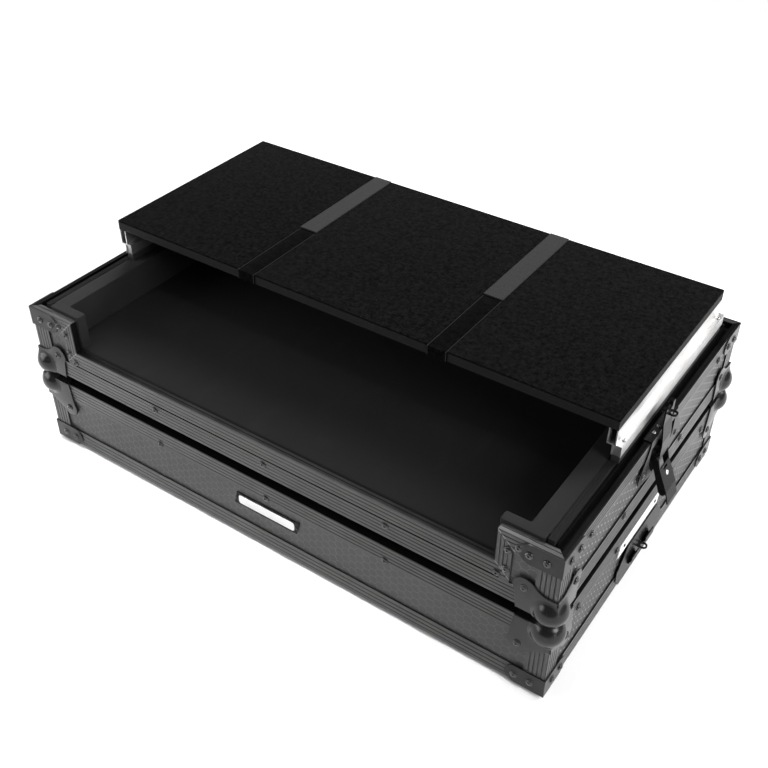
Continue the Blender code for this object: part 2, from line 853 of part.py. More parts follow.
# Latch dish: a pocket through the wall with a flange on the face and a tab over the rim
def make_latch_dish(name, way):
    low = base_bottom + pocket_bottom
    high = rim_top - pocket_top
    taper = low + pocket_taper
    pocket = [(-pocket_half_bottom, low), (pocket_half_bottom, low), (pocket_half_top, taper)]
    pocket += [(pocket_half_top, high), (-pocket_half_top, high), (-pocket_half_top, taper)]
    inner = []
    for y, z in pocket:
        inner_y = y - dish_wall if y > 0 else y + dish_wall
        inner_z = z + dish_wall if z < high else z - dish_wall
        inner.append((inner_y, inner_z))
    back = way * (half_width - panel_in)
    face = way * (half_width + clearance)
    front = way * (half_width + clearance + dish_wall)
    mesh = bmesh.new()
    prism(mesh, pocket, "yz", back, face)
    item = finish(name, mesh, black_steel)

    def flange(plate):
        lobe = (dish_lobe_offset, base_bottom + dish_lobe_height)
        right = [(pocket_half_bottom, low - flange_skirt)]
        right += arc(lobe, dish_lobe_radius, dish_lobe_start, dish_lobe_end, dish_lobe_steps)
        right += [(pocket_half_top + flange_skirt, high)]
        right += [(pocket_half_top + flange_shoulder, rim_top - bar_chamfer)]
        right += [(dish_throat, rim_top - bar_chamfer), (dish_throat, high - dish_wall)]
        left = [(-y, z) for y, z in reversed(right)]
        prism(plate, right + left, "yz", face, front)

    def hollow(cutter):
        prism(cutter, inner, "yz", way * (half_width - panel_in + dish_wall), way * (half_width + outside))

    def ears(plate):
        pin = (way * (half_width + fulcrum_out), base_bottom + fulcrum_height)
        reach = pin_radius + clearance + ear_reach
        tip = reach * ear_chamfer
        rise = reach * ear_chamfer_rise
        start = lever_half_width + ear_gap
        for side in (-1, 1):
            near, far = sorted((side * start, side * (start + ear_wall)))
            outline = [(back + way * dish_wall / 2, pin[1] - reach), (pin[0], pin[1] - reach)]
            outline += [(pin[0] + way * tip, pin[1] - rise), (pin[0] + way * reach, pin[1])]
            outline += [(pin[0] + way * tip, pin[1] + rise), (pin[0], pin[1] + reach)]
            outline += [(back + way * dish_wall / 2, pin[1] + reach)]
            prism(plate, outline, "xz", near, far)

    def pin_hole(cutter):
        pin = (way * (half_width + fulcrum_out), base_bottom + fulcrum_height)
        length = lever_half_width + ear_gap + 2 * ear_wall
        prism(cutter, circle(pin, pin_radius + clearance, pin_steps), "xz", -length, length)

    def rim_tab(plate):
        wide = half_width + clearance + dish_wall
        top = rim_top + clearance
        low_end = rim_top - tab_drop
        inner_end = half_width - dish_overhang
        spread = pocket_half_top + flange_shoulder
        for side in (-1, 1):
            near, far = sorted((side * dish_throat, side * spread))
            outline = [(wide, low_end), (wide, top + dish_wall), (inner_end, top + dish_wall)]
            outline += [(inner_end, top), (half_width + clearance, top)]
            outline += [(half_width + clearance, low_end)]
            prism(plate, [(way * a, b) for a, b in outline], "xz", near, far)

    def rim_bridge_tab(plate):
        top = rim_top + clearance
        near, far = sorted((way * (half_width - dish_overhang), way * (half_width - bar_chamfer)))
        throat = dish_throat + tab_overlap
        box(plate, (near, -throat, top), (far, throat, top + dish_wall))

    combine(item, helper(flange), "UNION")
    combine(item, helper(rim_tab), "UNION")
    combine(item, helper(rim_bridge_tab), "UNION")
    combine(item, helper(hollow), "DIFFERENCE")
    combine(item, helper(ears), "UNION")
    combine(item, helper(pin_hole), "DIFFERENCE")


# A point on the lever: distance down its length and out from the fulcrum, in the hanging pose
def lever_spot(way, along, out):
    tilt = radians(lever_tilt)
    x = half_width + fulcrum_out + along * sin(tilt) + out * cos(tilt)
    z = base_bottom + fulcrum_height - along * cos(tilt) + out * sin(tilt)
    return (way * x, z)


# Lever: a channel with two arms, its pins, a pull lip, a slot and a rivet
def make_latch_lever(name, way):
    arm_half = lever_half_width - lever_wall
    head = arc((0.0, 0.0), lever_head_radius, *lever_head_arc, lever_arc_steps)
    end = (lever_face_end, lever_end_radius - lever_arm_depth)
    tail = arc(end, lever_end_radius, *lever_tail_arc, lever_arc_steps)
    arm = head + tail + [(lever_face_end, lever_face), (lever_face_start, lever_face)]
    arm_outline = [lever_spot(way, along, out) for along, out in arm]
    mesh = bmesh.new()
    prism(mesh, arm_outline, "xz", arm_half, lever_half_width)
    prism(mesh, arm_outline, "xz", -lever_half_width, -arm_half)
    fulcrum = lever_spot(way, 0.0, 0.0)
    item = finish(name, mesh, black_steel, at=(fulcrum[0], 0.0, fulcrum[1]))

    def face(plate):
        outer = [(lever_face_start, lever_face), (lever_face_end, lever_face)]
        outer += [(lever_lip_end, lever_face - lever_lip_drop)]
        inner = [(along, out - lever_plate) for along, out in reversed(outer)]
        outline = [lever_spot(way, along, out) for along, out in outer + inner]
        prism(plate, outline, "xz", -lever_half_width + clearance / 2, lever_half_width - clearance / 2)

    def slot(cutter):
        outline = [(slot_start, slot_past), (slot_end, slot_past)]
        outline += [(slot_end, -slot_past), (slot_start, -slot_past)]
        placed = [lever_spot(way, along, out) for along, out in outline]
        prism(cutter, placed, "xz", -slot_half_width, slot_half_width)

    def pins(plate):
        outer = lever_half_width + ear_gap + ear_wall
        for side in (-1, 1):
            near, far = sorted((side * (arm_half + lever_wall / 2), side * outer))
            prism(plate, circle(fulcrum, pin_radius, pin_steps), "xz", near, far)
            near, far = sorted((side * (arm_half + lever_wall / 2), side * (lever_half_width + stud_rise)))
            prism(plate, circle(lever_spot(way, *end), lever_stud, pin_steps), "xz", near, far)
        claw_pin = lever_spot(way, claw_pin_along, -claw_pin_in)
        inner = arm_half + lever_wall / 2
        prism(plate, circle(claw_pin, pin_radius, pin_steps), "xz", -inner, inner)

    combine(item, helper(face), "UNION")
    combine(item, helper(slot), "DIFFERENCE")
    combine(item, helper(pins), "UNION")


# Round side of a padlock eye, open towards the case
def eye_outline(centre, way):
    middle = 0 if way > 0 else 180
    return arc(centre, eye_radius, middle - eye_opening, middle + eye_opening, pin_steps)


# Claw: a plate with ears on the lever's pin, two hooking prongs and a padlock eye
def make_latch_claw(name, way):
    pin = lever_spot(way, claw_pin_along, -claw_pin_in)
    top = base_bottom + claw_top
    lean = base_bottom + claw_lean_start
    upright = base_bottom + claw_upright_start
    low = pin[1] + claw_foot
    out = half_width + claw_out
    up_out = half_width + claw_upright_out
    line = [(out, low), (out, lean), (up_out, upright), (up_out, top)]
    half = claw_plate / 2
    outline = [(x + half, z) for x, z in line] + [(x - half, z) for x, z in reversed(line)]
    placed = [(way * x, z) for x, z in outline]
    mesh = bmesh.new()
    prism(mesh, placed, "xz", -claw_half_width, claw_half_width)
    item = finish(name, mesh, black_steel, at=(pin[0], 0.0, pin[1]))

    def trim(cutter):
        # Narrow neck between the lever's arms
        for side in (-1, 1):
            below = low - outside
            outline = [(claw_neck_half_width, below), (claw_half_width + outside, below)]
            outline += [(claw_half_width + outside, lean), (claw_half_width, lean)]
            outline += [(claw_neck_half_width, lean - claw_neck_taper)]
            near, far = sorted((way * (half_width - outside), way * (half_width + outside)))
            prism(cutter, [(side * y, z) for y, z in outline], "yz", near, far)

    def ears(plate):
        reach = pin_radius + clearance + claw_ear_reach
        inner_face = out - half
        top_end = pin[1] + claw_ear_height
        for side in (-1, 1):
            near, far = sorted((side * (claw_neck_half_width - ear_wall), side * claw_neck_half_width))
            x, z = way * pin[0], pin[1]
            points = arc((x, z), reach, *claw_ear_arc, claw_ear_steps)
            points += [(out, z + clearance), (out, top_end), (inner_face, top_end)]
            prism(plate, [(way * a, b) for a, b in points], "xz", near, far)

    def pin_hole(cutter):
        reach = claw_half_width + outside
        prism(cutter, circle(pin, pin_radius + clearance, pin_steps), "xz", -reach, reach)

    def gap(cutter):
        # Space between the two prongs
        inner = claw_half_width - prong_width
        near, far = sorted((way * (half_width - outside), way * (half_width + outside)))
        box(cutter, (near, -inner, top - prong_gap_depth), (far, inner, top + outside))

    def hooks(plate):
        inner = claw_half_width - prong_width
        for side in (-1, 1):
            near, far = sorted((side * inner, side * claw_half_width))
            tip = up_out - claw_hook_reach
            outline = [(up_out + half, top - claw_plate), (up_out, top), (tip, top)]
            outline += [(tip - hook_lead, top - hook_drop), (tip, top - hook_drop)]
            outline += [(tip + hook_fillet, top - claw_plate)]
            prism(plate, [(way * a, b) for a, b in outline], "xz", near, far)

    def eye(plate):
        level = base_bottom + claw_eye_height
        centre = (way * (half_width + eye_out), 0.0)
        outline = eye_outline(centre, way)
        root = way * up_out
        outline += [(root, outline[-1][1]), (root, outline[0][1])]
        prism(plate, outline, "xy", level - eye_thickness / 2, level + eye_thickness / 2)

    def eye_hole(cutter):
        level = base_bottom + claw_eye_height
        centre = (way * (half_width + eye_out), 0.0)
        hole = circle(centre, eye_hole_radius, pin_steps)
        prism(cutter, hole, "xy", level - eye_radius, level + eye_radius)

    combine(item, helper(trim), "DIFFERENCE")
    combine(item, helper(gap), "DIFFERENCE")
    combine(item, helper(hooks), "UNION")
    combine(item, helper(ears), "UNION")
    combine(item, helper(pin_hole), "DIFFERENCE")
    combine(item, helper(eye), "UNION")
    combine(item, helper(eye_hole), "DIFFERENCE")


# Keeper on the lid: a flanged plate with two lips for the prongs and a staple between them
def make_latch_keeper(name, way):
    face = half_width + clearance
    front = face + keeper_plate
    low = lid_edge + keeper_foot
    high = lid_edge + keeper_height
    wide = keeper_half_width
    half = [(wide - keeper_foot_cut, low), (wide, low + keeper_side_low)]
    half += [(wide, low + keeper_side_high), (wide - keeper_head_cut, high)]
    plate = half + [(-y, z) for y, z in reversed(half)]
    mesh = bmesh.new()
    prism(mesh, plate, "yz", way * face, way * front)
    item = finish(name, mesh, black_steel)

    def lips(part):
        level = lid_edge + keeper_lip_height
        reach = half_width + keeper_lip_reach
        root = face + keeper_plate / 2
        inner = reach - keeper_lip_wall
        foot = level - keeper_lip_root
        bend = level - keeper_lip_bend
        tip = level + keeper_lip_tip
        outline = [(root, foot), (front + keeper_lip_tip, foot), (reach, bend), (reach, tip), (inner, tip)]
        outline += [(inner, bend + keeper_lip_wall / 2), (front, foot + keeper_lip_wall)]
        outline += [(root, foot + keeper_lip_wall)]
        for side in (-1, 1):
            near, far = sorted((side * keeper_lip_inner, side * keeper_lip_outer))
            prism(part, [(way * a, b) for a, b in outline], "xz", near, far)

    def staple(part):
        level = lid_edge + staple_height
        centre = (way * (half_width + eye_out), 0.0)
        outline = eye_outline(centre, way)
        root = way * (front - keeper_plate / 2)
        outline += [(root, outline[-1][1]), (root, outline[0][1])]
        prism(part, outline, "xy", level - eye_thickness / 2, level + eye_thickness / 2)

    def staple_hole(cutter):
        level = lid_edge + staple_height
        centre = (way * (half_width + eye_out), 0.0)
        hole = circle(centre, eye_hole_radius, pin_steps)
        prism(cutter, hole, "xy", level - eye_radius, level + eye_radius)

    combine(item, helper(lips), "UNION")
    combine(item, helper(staple), "UNION")
    combine(item, helper(staple_hole), "DIFFERENCE")


make_lid_panels()
make_lid_frames()
make_base_panels()
make_base_frames()
make_cutout_frame()
make_corners()
make_braces("lid_brace", lid_edge)
make_braces("base_brace", rim_top - brace_height)
make_padding()
make_platform()
make_badges()
for side_name, side_way in (("left", -1), ("right", 1)):
    make_latch_dish("latch_dish_" + side_name, side_way)
    make_latch_lever("latch_lever_" + side_name, side_way)
    make_latch_claw("latch_claw_" + side_name, side_way)
    make_latch_keeper("latch_keeper_" + side_name, side_way)
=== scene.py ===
from math import cos, pi, radians, sin, sqrt

import bmesh
import bpy
import numpy as np
from mathutils import Matrix, Vector


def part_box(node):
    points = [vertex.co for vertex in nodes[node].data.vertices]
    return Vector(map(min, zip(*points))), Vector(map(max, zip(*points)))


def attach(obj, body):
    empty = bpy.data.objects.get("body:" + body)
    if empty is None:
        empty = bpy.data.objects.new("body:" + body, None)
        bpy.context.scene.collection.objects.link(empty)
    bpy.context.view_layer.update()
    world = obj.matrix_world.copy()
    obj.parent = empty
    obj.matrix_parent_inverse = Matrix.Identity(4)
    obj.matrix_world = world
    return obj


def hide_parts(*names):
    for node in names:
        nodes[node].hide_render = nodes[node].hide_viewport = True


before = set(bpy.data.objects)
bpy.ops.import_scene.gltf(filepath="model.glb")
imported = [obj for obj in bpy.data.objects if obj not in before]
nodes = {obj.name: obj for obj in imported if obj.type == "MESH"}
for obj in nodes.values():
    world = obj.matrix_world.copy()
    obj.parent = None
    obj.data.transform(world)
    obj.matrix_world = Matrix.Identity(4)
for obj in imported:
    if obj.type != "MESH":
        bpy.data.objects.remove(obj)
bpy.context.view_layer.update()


# Places taken from the frame
def limits(node):
    low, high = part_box(node)
    return np.array(low), np.array(high)


tongue = 0.004  # how far the lid's tongue stands below its rim
baseLow, baseHigh = limits("base_edge_frame")
halfWidth, halfDepth, baseBottom = baseHigh[0], baseHigh[1], baseLow[2]
lidTop = limits("lid_edge_frame")[1][2]
lidEdge = limits("lid_rim_frame")[0][2] + tongue
rimTop = limits("base_rim_bar_back")[1][2]
print("stage: frame loaded")


# A material being built: its shader, and short calls that add the nodes in front of it
class Look:
    def __init__(self, material):
        self.material, self.tree = material, material.node_tree
        self.shader = self.tree.nodes["Principled BSDF"]
        self.place = self.tree.nodes.new("ShaderNodeTexCoord").outputs["Object"]

    def put(self, socket, value):
        if isinstance(value, bpy.types.NodeSocket):
            self.tree.links.new(value, socket)
        else:
            socket.default_value = value

    def node(self, kind, values, output=0, **settings):
        made = self.tree.nodes.new("ShaderNode" + kind)
        for key, value in settings.items():
            setattr(made, key, value)
        for key, value in values.items():
            self.put(made.inputs[key], value)
        return made.outputs[output]

    def math(self, operation, *values):
        return self.node("Math", dict(enumerate(values)), operation=operation)

    def times(self, first, *others):
        for other in others:
            first = self.math("MULTIPLY", first, other)
        return first

    def split(self, vector=None):
        values = {"Vector": self.place if vector is None else vector}
        return self.node("SeparateXYZ", values).node.outputs

    def scaled(self, scale):
        return self.node("Mapping", {"Vector": self.place, "Scale": scale})

    def noise(self, scale, detail=3.0, stretch=(1.0, 1.0, 1.0)):
        values = {"Vector": self.scaled(stretch), "Scale": scale, "Detail": detail}
        return self.node("TexNoise", values)

    def between(self, value, low, high, start=0.0, end=1.0):
        values = {"Value": value, "From Min": start, "From Max": end, "To Min": low, "To Max": high}
        return self.node("MapRange", values)

    # A mix of colours; mixed is the same for numbers
    def mix(self, share, first, second):
        made = self.tree.nodes.new("ShaderNodeMix")
        made.data_type = "RGBA"
        for socket, value in ((0, share), (6, first), (7, second)):
            self.put(made.inputs[socket], value)
        return made.outputs[2]

    def mixed(self, share, first, second):
        return self.math("ADD", self.times(share, self.math("SUBTRACT", second, first)), first)

    def shaded(self, colour, level):
        return self.node("VectorMath", {0: colour, "Scale": level}, operation="SCALE")

    def bump(self, height, strength, distance, below=None):
        values = {"Height": height, "Strength": strength, "Distance": distance}
        if below is not None:
            values["Normal"] = below
        made = self.node("Bump", values)
        self.put(self.shader.inputs["Normal"], made)
        return made

    def tint(self):
        return self.shader.inputs["Base Color"].links[0].from_socket

    def colour(self, value):
        self.put(self.shader.inputs["Base Color"], value)

    def roughness(self, value):
        self.put(self.shader.inputs["Roughness"], value)


shaderNames = {
    "metallic": "Metallic", "specular": "Specular IOR Level",
    "sheen": "Sheen Weight", "sheenRoughness": "Sheen Roughness",
}


def newLook(name, level, roughness, **others):
    material = bpy.data.materials.new(name)
    material.use_nodes = True
    look = Look(material)
    look.colour(grey(level))
    look.roughness(roughness)
    for key, value in others.items():
        look.put(look.shader.inputs[shaderNames[key]], value)
    return look


def grey(level, warm=0.0):
    return (level * (1 + warm), level, level * (1 - warm / 2), 1.0)


# Distance from the outline of a flat-topped hexagon, 0 at its edge and 0.5 at its middle, and the
# square of the distance to its middle, in pitches. Two rectangular grids of middles, one half a cell
# off: the nearer middle is the cell's own.
def hexagons(look, across, along, pitch):
    root = sqrt(3.0)
    points, middles = [], []
    for half in (0.0, 0.5):
        u = look.math("ADD", look.times(across, 1 / (pitch * root)), half)
        v = look.math("ADD", look.times(along, 1 / pitch), half)
        u = look.times(look.math("SUBTRACT", look.math("FRACT", u), 0.5), root)
        v = look.math("SUBTRACT", look.math("FRACT", v), 0.5)
        u, v = look.math("ABSOLUTE", u), look.math("ABSOLUTE", v)
        slanted = look.math("ADD", look.times(u, root / 2), look.times(v, 0.5))
        points.append(look.math("MAXIMUM", slanted, v))
        middles.append(look.math("ADD", look.times(u, u), look.times(v, v)))
    return look.math("SUBTRACT", 0.5, look.math("MINIMUM", *points)), look.math("MINIMUM", *middles)


# Laminate: pale hexagon outlines over a fine weave of dots, and painted glints on the side
# panels. core is the share of an outline's or painted glint's half width that has its full tone.
laminateLook = {
    "pitch": 0.0106, "outline": 0.050, "core": 0.4, "flat": 0.03, "dark": 0.026, "light": 0.046,
    "warm": 0.02, "roughness": 0.46, "worn": (-0.06, 0.08), "wornScale": 60.0, "lineShine": 0.12,
    "specular": 0.45, "grainScale": 900.0, "grain": (0.85, 1.15), "dotPitch": 0.0021,
    "dotDepth": 0.00018, "dotShare": 0.35, "ridge": 0.00022, "ridgeShare": 0.6,
}
# Painted glint: a pale, barely raised spot in the middle of each hexagon of the side panels only,
# standing in for the light that the hexagons catch
paintedGlint = {"radius": 0.0014, "core": 0.6, "tone": 0.45, "height": 0.00004}


def laminate(name, across, along, paintedGlints=False):
    made = laminateLook
    look = newLook(name, made["flat"], made["roughness"], specular=made["specular"])
    parts = look.split()
    edge, middle = hexagons(look, parts[across], parts[along], made["pitch"])
    line = look.between(edge, 1.0, 0.0, made["outline"] * made["core"], made["outline"])
    tone = look.mix(line, grey(made["dark"], made["warm"]), grey(made["light"], made["warm"]))
    # Painted glints: pale spots in the hexagons' middles
    if paintedGlints:
        away = look.times(look.math("SQRT", middle), made["pitch"])
        glintSpot = look.between(away, 1.0, 0.0, paintedGlint["radius"] * paintedGlint["core"], paintedGlint["radius"])
        tone = look.mix(glintSpot, tone, grey(paintedGlint["tone"]))
    grain = look.between(look.noise(made["grainScale"], 2.0), *made["grain"])
    look.colour(look.shaded(tone, grain))
    waves = look.split(look.scaled((2 * pi / made["dotPitch"],) * 3))
    weave = look.times(look.math("SINE", waves[across]), look.math("SINE", waves[along]))
    under = look.bump(weave, made["dotShare"], made["dotDepth"])
    under = look.bump(line, made["ridgeShare"], made["ridge"], under)
    if paintedGlints:
        look.bump(glintSpot, 1.0, paintedGlint["height"], under)
    low, high = (made["roughness"] + change for change in made["worn"])
    rough = look.between(look.noise(made["wornScale"]), low, high)
    look.roughness(look.math("SUBTRACT", rough, look.times(line, made["lineShine"])))
    return look.material


# Painted or anodised metal: faint drift of its tone and fine grain, drawn out along the axes that
# stretch makes small
metalLook = {
    "driftScale": 35.0, "dark": 0.88, "light": 1.14, "warm": 0.02, "grainScale": 700.0,
    "grainShare": 0.25, "range": (0.3, 0.7),
}


def metal(name, level, roughness, metallic, specular=0.5, stretch=(1.0, 1.0, 1.0),
          grain=0.00006, spread=0.06):
    made = metalLook
    look = newLook(name, level, roughness, metallic=metallic, specular=specular)
    drift = look.between(look.noise(made["driftScale"], 4.0), 0.0, 1.0, *made["range"])
    tones = grey(level * made["dark"], made["warm"]), grey(level * made["light"])
    look.colour(look.mix(drift, *tones))
    drawn = look.noise(made["grainScale"], 2.0, stretch)
    look.roughness(look.between(drawn, roughness - spread, roughness + spread, *made["range"]))
    look.bump(drawn, made["grainShare"], grain)
    return look.material


# Painted shade on the bars: their colour darkens inwards, in their grooves and on the faces
# behind their outer faces, where shade falls, more in the side grooves than in the front ones,
# and their specular level drops with it. The tops of the front and back bars stay light.
# Between the two values of shine, as shares of the full tone, the specular level rises from 0
# to its full value.
paintedBarShade = {
    "groove": (0.00002, 0.00009), "past": (0.0007, 0.0011), "inFront": 0.55, "sideGrooveShade": 0.03,
    "behind": 0.15, "underTop": 0.001, "shine": (0.1, 1.0), "grainStretch": (0.08, 0.08, 1.0),
}
# Dark joint under the sill clip, as a level line on the front
clipFoot = {"height": 0.1446, "half": 0.0010, "reach": 0.2965}
# Painted highlight on the mitre seams at the cut-out's bends, where their edges catch light: pale
# lines of |x| + z = constant on the front face
mitreHighlight = {
    "inside": 0.0695, "across": 0.022, "sillTop": 0.165, "half": 0.0005, "face": 0.0004,
    "tone": 0.20,
}


# Ribbed bars with painted shade. Their depth is the distance below the nearer outer face: the
# smaller of W - |x| and D - |y|, where W and D are the case's half width and half depth.
def groovedMetal(name, level, roughness, metallic, specular):
    made = paintedBarShade
    look = Look(metal(name, level, roughness, metallic, specular, made["grainStretch"]))
    x, y, z = look.split()
    wide = look.math("ABSOLUTE", x)
    aside = look.math("SUBTRACT", halfWidth, wide)
    across = look.math("SUBTRACT", halfDepth, look.math("ABSOLUTE", y))
    depth = look.math("MINIMUM", aside, across)
    sideways = look.math("LESS_THAN", aside, across)
    inFront = look.math("LESS_THAN", y, 0.0)

    # Painted shade: dark is the share of the tone left in the grooves and behind the outer faces
    grooveShadeLevel = look.mixed(sideways, made["inFront"], made["sideGrooveShade"])
    groove = look.mixed(look.between(depth, 0.0, 1.0, *made["groove"]), 1.0, grooveShadeLevel)
    shallow = look.math("LESS_THAN", depth, made["past"][0])
    below = look.math("LESS_THAN", z, rimTop - made["underTop"])
    behind = look.between(depth, 0.0, 1.0, *made["past"])
    behind = look.times(behind, look.math("MAXIMUM", below, sideways), 1 - made["behind"])
    dark = look.math("SUBTRACT", look.mixed(shallow, 1.0, groove), behind)

    foot = look.math("COMPARE", z, clipFoot["height"], clipFoot["half"])
    foot = look.times(foot, look.math("LESS_THAN", wide, clipFoot["reach"]), inFront)
    dark = look.times(dark, look.math("SUBTRACT", 1.0, foot))

    # Painted highlight: pale lines on the mitre seams of the cut-out
    inside = halfWidth - mitreHighlight["inside"]
    total = look.math("ADD", wide, z)
    tops = (rimTop, mitreHighlight["sillTop"])
    lines = [look.math("COMPARE", total, inside + top, mitreHighlight["half"]) for top in tops]
    bend = look.math("COMPARE", wide, inside + mitreHighlight["across"] / 2, mitreHighlight["across"] / 2)
    onFace = look.math("LESS_THAN", across, mitreHighlight["face"])
    line = look.times(look.math("ADD", *lines), bend, inFront, onFace)
    look.colour(look.mix(line, look.shaded(look.tint(), dark), grey(mitreHighlight["tone"])))
    shine = look.between(dark, 0.0, specular, *made["shine"])
    look.put(look.shader.inputs["Specular IOR Level"], shine)
    return look.material


# Foam skin: fine pores, slow waves and pale scuffs
foamLook = {
    "shader": {"sheen": 0.03, "sheenRoughness": 0.6, "specular": 0.1}, "roughness": 0.9,
    "waveScale": 14.0, "dark": 0.8, "light": 1.2, "warm": 0.02, "waveShare": 0.25,
    "waveDepth": 0.0012, "scuffScale": 38.0, "scuffStretch": (1.0, 0.45, 1.0),
    "scuffRange": (0.56, 0.74), "scuffed": 2.6, "poreShare": 0.5, "poreDepth": 0.0003,
}


def foam(name, level, scuff, pores=1100.0):
    made = foamLook
    look = newLook(name, level, made["roughness"], **made["shader"])
    waves = look.noise(made["waveScale"], 5.0)
    scuffs = look.noise(made["scuffScale"], 6.0, made["scuffStretch"])
    marks = look.times(look.between(scuffs, 0.0, 1.0, *made["scuffRange"]), scuff)
    tone = look.mix(waves, grey(level * made["dark"]), grey(level * made["light"], made["warm"]))
    look.colour(look.mix(marks, tone, grey(level * made["scuffed"])))
    under = look.bump(look.noise(pores, 2.0), made["poreShare"], made["poreDepth"])
    look.bump(waves, made["waveShare"], made["waveDepth"], under)
    return look.material


# Felt: matted fibres as stretched noise in two directions, with a soft sheen
napLook = {
    "shader": {"sheen": 0.015, "sheenRoughness": 0.45, "specular": 0.015}, "roughness": 1.0,
    "fibreScale": 620.0, "stretch": 0.35, "tuftScale": 190.0, "tuftShare": 0.4,
    "range": (0.42, 0.68), "dark": 0.35, "light": 2.4, "share": 0.9,
}


def felt(name, level, depth=0.0007):
    made = napLook
    look = newLook(name, level, made["roughness"], **made["shader"])
    one = look.noise(made["fibreScale"], 3.0, (1.0, made["stretch"], 1.0))
    two = look.noise(made["fibreScale"], 3.0, (made["stretch"], 1.0, 1.0))
    fibres = look.times(look.math("MAXIMUM", one, two), 1 - made["tuftShare"])
    tufts = look.times(look.noise(made["tuftScale"], 4.0), made["tuftShare"])
    nap = look.math("ADD", fibres, tufts)
    tones = grey(level * made["dark"]), grey(level * made["light"])
    look.colour(look.mix(look.between(nap, 0.0, 1.0, *made["range"]), *tones))
    look.bump(nap, made["share"], depth)
    return look.material


# Loop tape: felt with pale woven edges, as two lines along each strip
selvedge = {"inset": 0.0009, "half": 0.0005, "tone": 0.024}


def loopTape(name, level, depth):
    look = Look(felt(name, level, depth))
    low, high = limits("loop_strip_right")
    wide = look.math("ABSOLUTE", look.split()[0])
    places = (low[0] + selvedge["inset"], high[0] - selvedge["inset"])
    lines = [look.math("COMPARE", wide, place, selvedge["half"]) for place in places]
    look.colour(look.mix(look.math("ADD", *lines), look.tint(), grey(selvedge["tone"])))
    return look.material


# Black plywood: level layers, with grain drawn along them
plywood = {
    "level": 0.012, "roughness": 0.65, "specular": 0.15, "layerScale": 95.0, "waver": 1.2,
    "share": (0.0, 0.5), "dark": 0.006, "light": 0.013, "warm": 0.05, "grainScale": 300.0,
    "grainStretch": (0.3, 0.3, 3.0), "grainShare": 0.5, "grainDepth": 0.0003,
}


def plywoodEdge(name):
    made = plywood
    look = newLook(name, made["level"], made["roughness"], specular=made["specular"])
    values = {"Vector": look.place, "Scale": made["layerScale"], "Distortion": made["waver"]}
    layers = look.node("TexWave", values, output=1, bands_direction="Z")
    share = look.between(layers, *made["share"])
    look.colour(look.mix(share, grey(made["dark"]), grey(made["light"], made["warm"])))
    grain = look.noise(made["grainScale"], 4.0, made["grainStretch"])
    look.bump(grain, made["grainShare"], made["grainDepth"])
    return look.material


# Hook tape: fine grey noise
hookTapeLook = {
    "level": 0.05, "roughness": 0.75, "shader": {"sheen": 0.03, "specular": 0.1}, "scale": 1500.0,
    "range": (0.3, 0.7), "dark": 0.015, "light": 0.034, "warm": 0.02, "share": 0.4,
    "depth": 0.0002,
}


def hookTape(name):
    made = hookTapeLook
    look = newLook(name, made["level"], made["roughness"], **made["shader"])
    fine = look.noise(made["scale"], 2.0)
    share = look.between(fine, 0.0, 1.0, *made["range"])
    look.colour(look.mix(share, grey(made["dark"]), grey(made["light"], made["warm"])))
    look.bump(fine, made["share"], made["depth"])
    return look.material


# Enamel: even, with slight drift of its tone and faint waves
enamelLook = {
    "roughness": 0.3, "specular": 0.5, "driftScale": 120.0, "dark": 0.97, "pitScale": 400.0,
    "share": 0.1, "depth": 0.00004,
}


def enamel(name, level):
    made = enamelLook
    look = newLook(name, level, made["roughness"], specular=made["specular"])
    drift = look.noise(made["driftScale"], 2.0)
    look.colour(look.mix(drift, grey(level * made["dark"]), grey(level)))
    look.bump(look.noise(made["pitScale"], 2.0), made["share"], made["depth"])
    return look.material


# Each metal's name, level, roughness, metallic share and specular level
smooth = {"grain": 0.000006, "spread": 0.02}
lamFront = laminate("laminate_front", 0, 2)
# The side laminate carries the painted glints
lamSide = laminate("laminate_side_painted_glints", 1, 2, True)
lamFlat = laminate("laminate_flat", 0, 1)
# The bars' metal carries painted shade in its grooves and behind its outer faces
barLook = groovedMetal("bar_metal_painted_shade", 0.032, 0.34, 0.0, 0.40)
braceLook = metal("brace_paint", 0.014, 0.30, 0.1, 0.2, grain=0.00001, spread=0.03)
steelLook = metal("latch_steel", 0.006, 0.28, 0.05, 0.06, **smooth)
cornerLook = metal("corner_steel", 0.010, 0.25, 0.1, 0.35, **smooth)
rivetLook = metal("rivet_black", 0.010, 0.13, 0.3, 0.9, **smooth)
silverLook = metal("rivet_silver", 0.62, 0.25, 1.0)
railLook = metal("rail_aluminium", 0.55, 0.42, 1.0, stretch=(1.0, 0.03, 1.0), grain=0.00008)
glideLook = metal("glide_plastic", 0.015, 0.5, 0.0)
floorFoam = foam("floor_foam", 0.0036, 0.35)
blockFoam = foam("block_foam", 0.013, 0.15, 1400.0)
trackLook = foam("track_rubber", 0.007, 0.1, 1600.0)
feltLook = felt("felt_nap", 0.0036)
loopLook = loopTape("loop_tape", 0.0018, 0.0005)
hookLook = hookTape("hook_tape")
boardLook = plywoodEdge("board_paint")
whiteLook = enamel("badge_white", 0.95)
print("stage: materials made")


# Faces of a grid of rows by columns; closed columns wrap round
def gridFaces(rows, columns, closed=True):
    spans = columns if closed else columns - 1
    row, column = np.meshgrid(np.arange(rows - 1), np.arange(spans), indexing="ij")
    after = (column + 1) % columns
    lower, upper = row * columns, (row + 1) * columns
    faces = np.stack([lower + column, lower + after, upper + after, upper + column], -1)
    return faces.reshape(-1, 4)


# Distances under which points of a new piece or of a node are one, or lie on one level, and the
# smallest turn of an outline that counts as a corner
near = {"own": 1e-7, "node": 1e-6, "level": 1e-5, "turn": 1e-10}


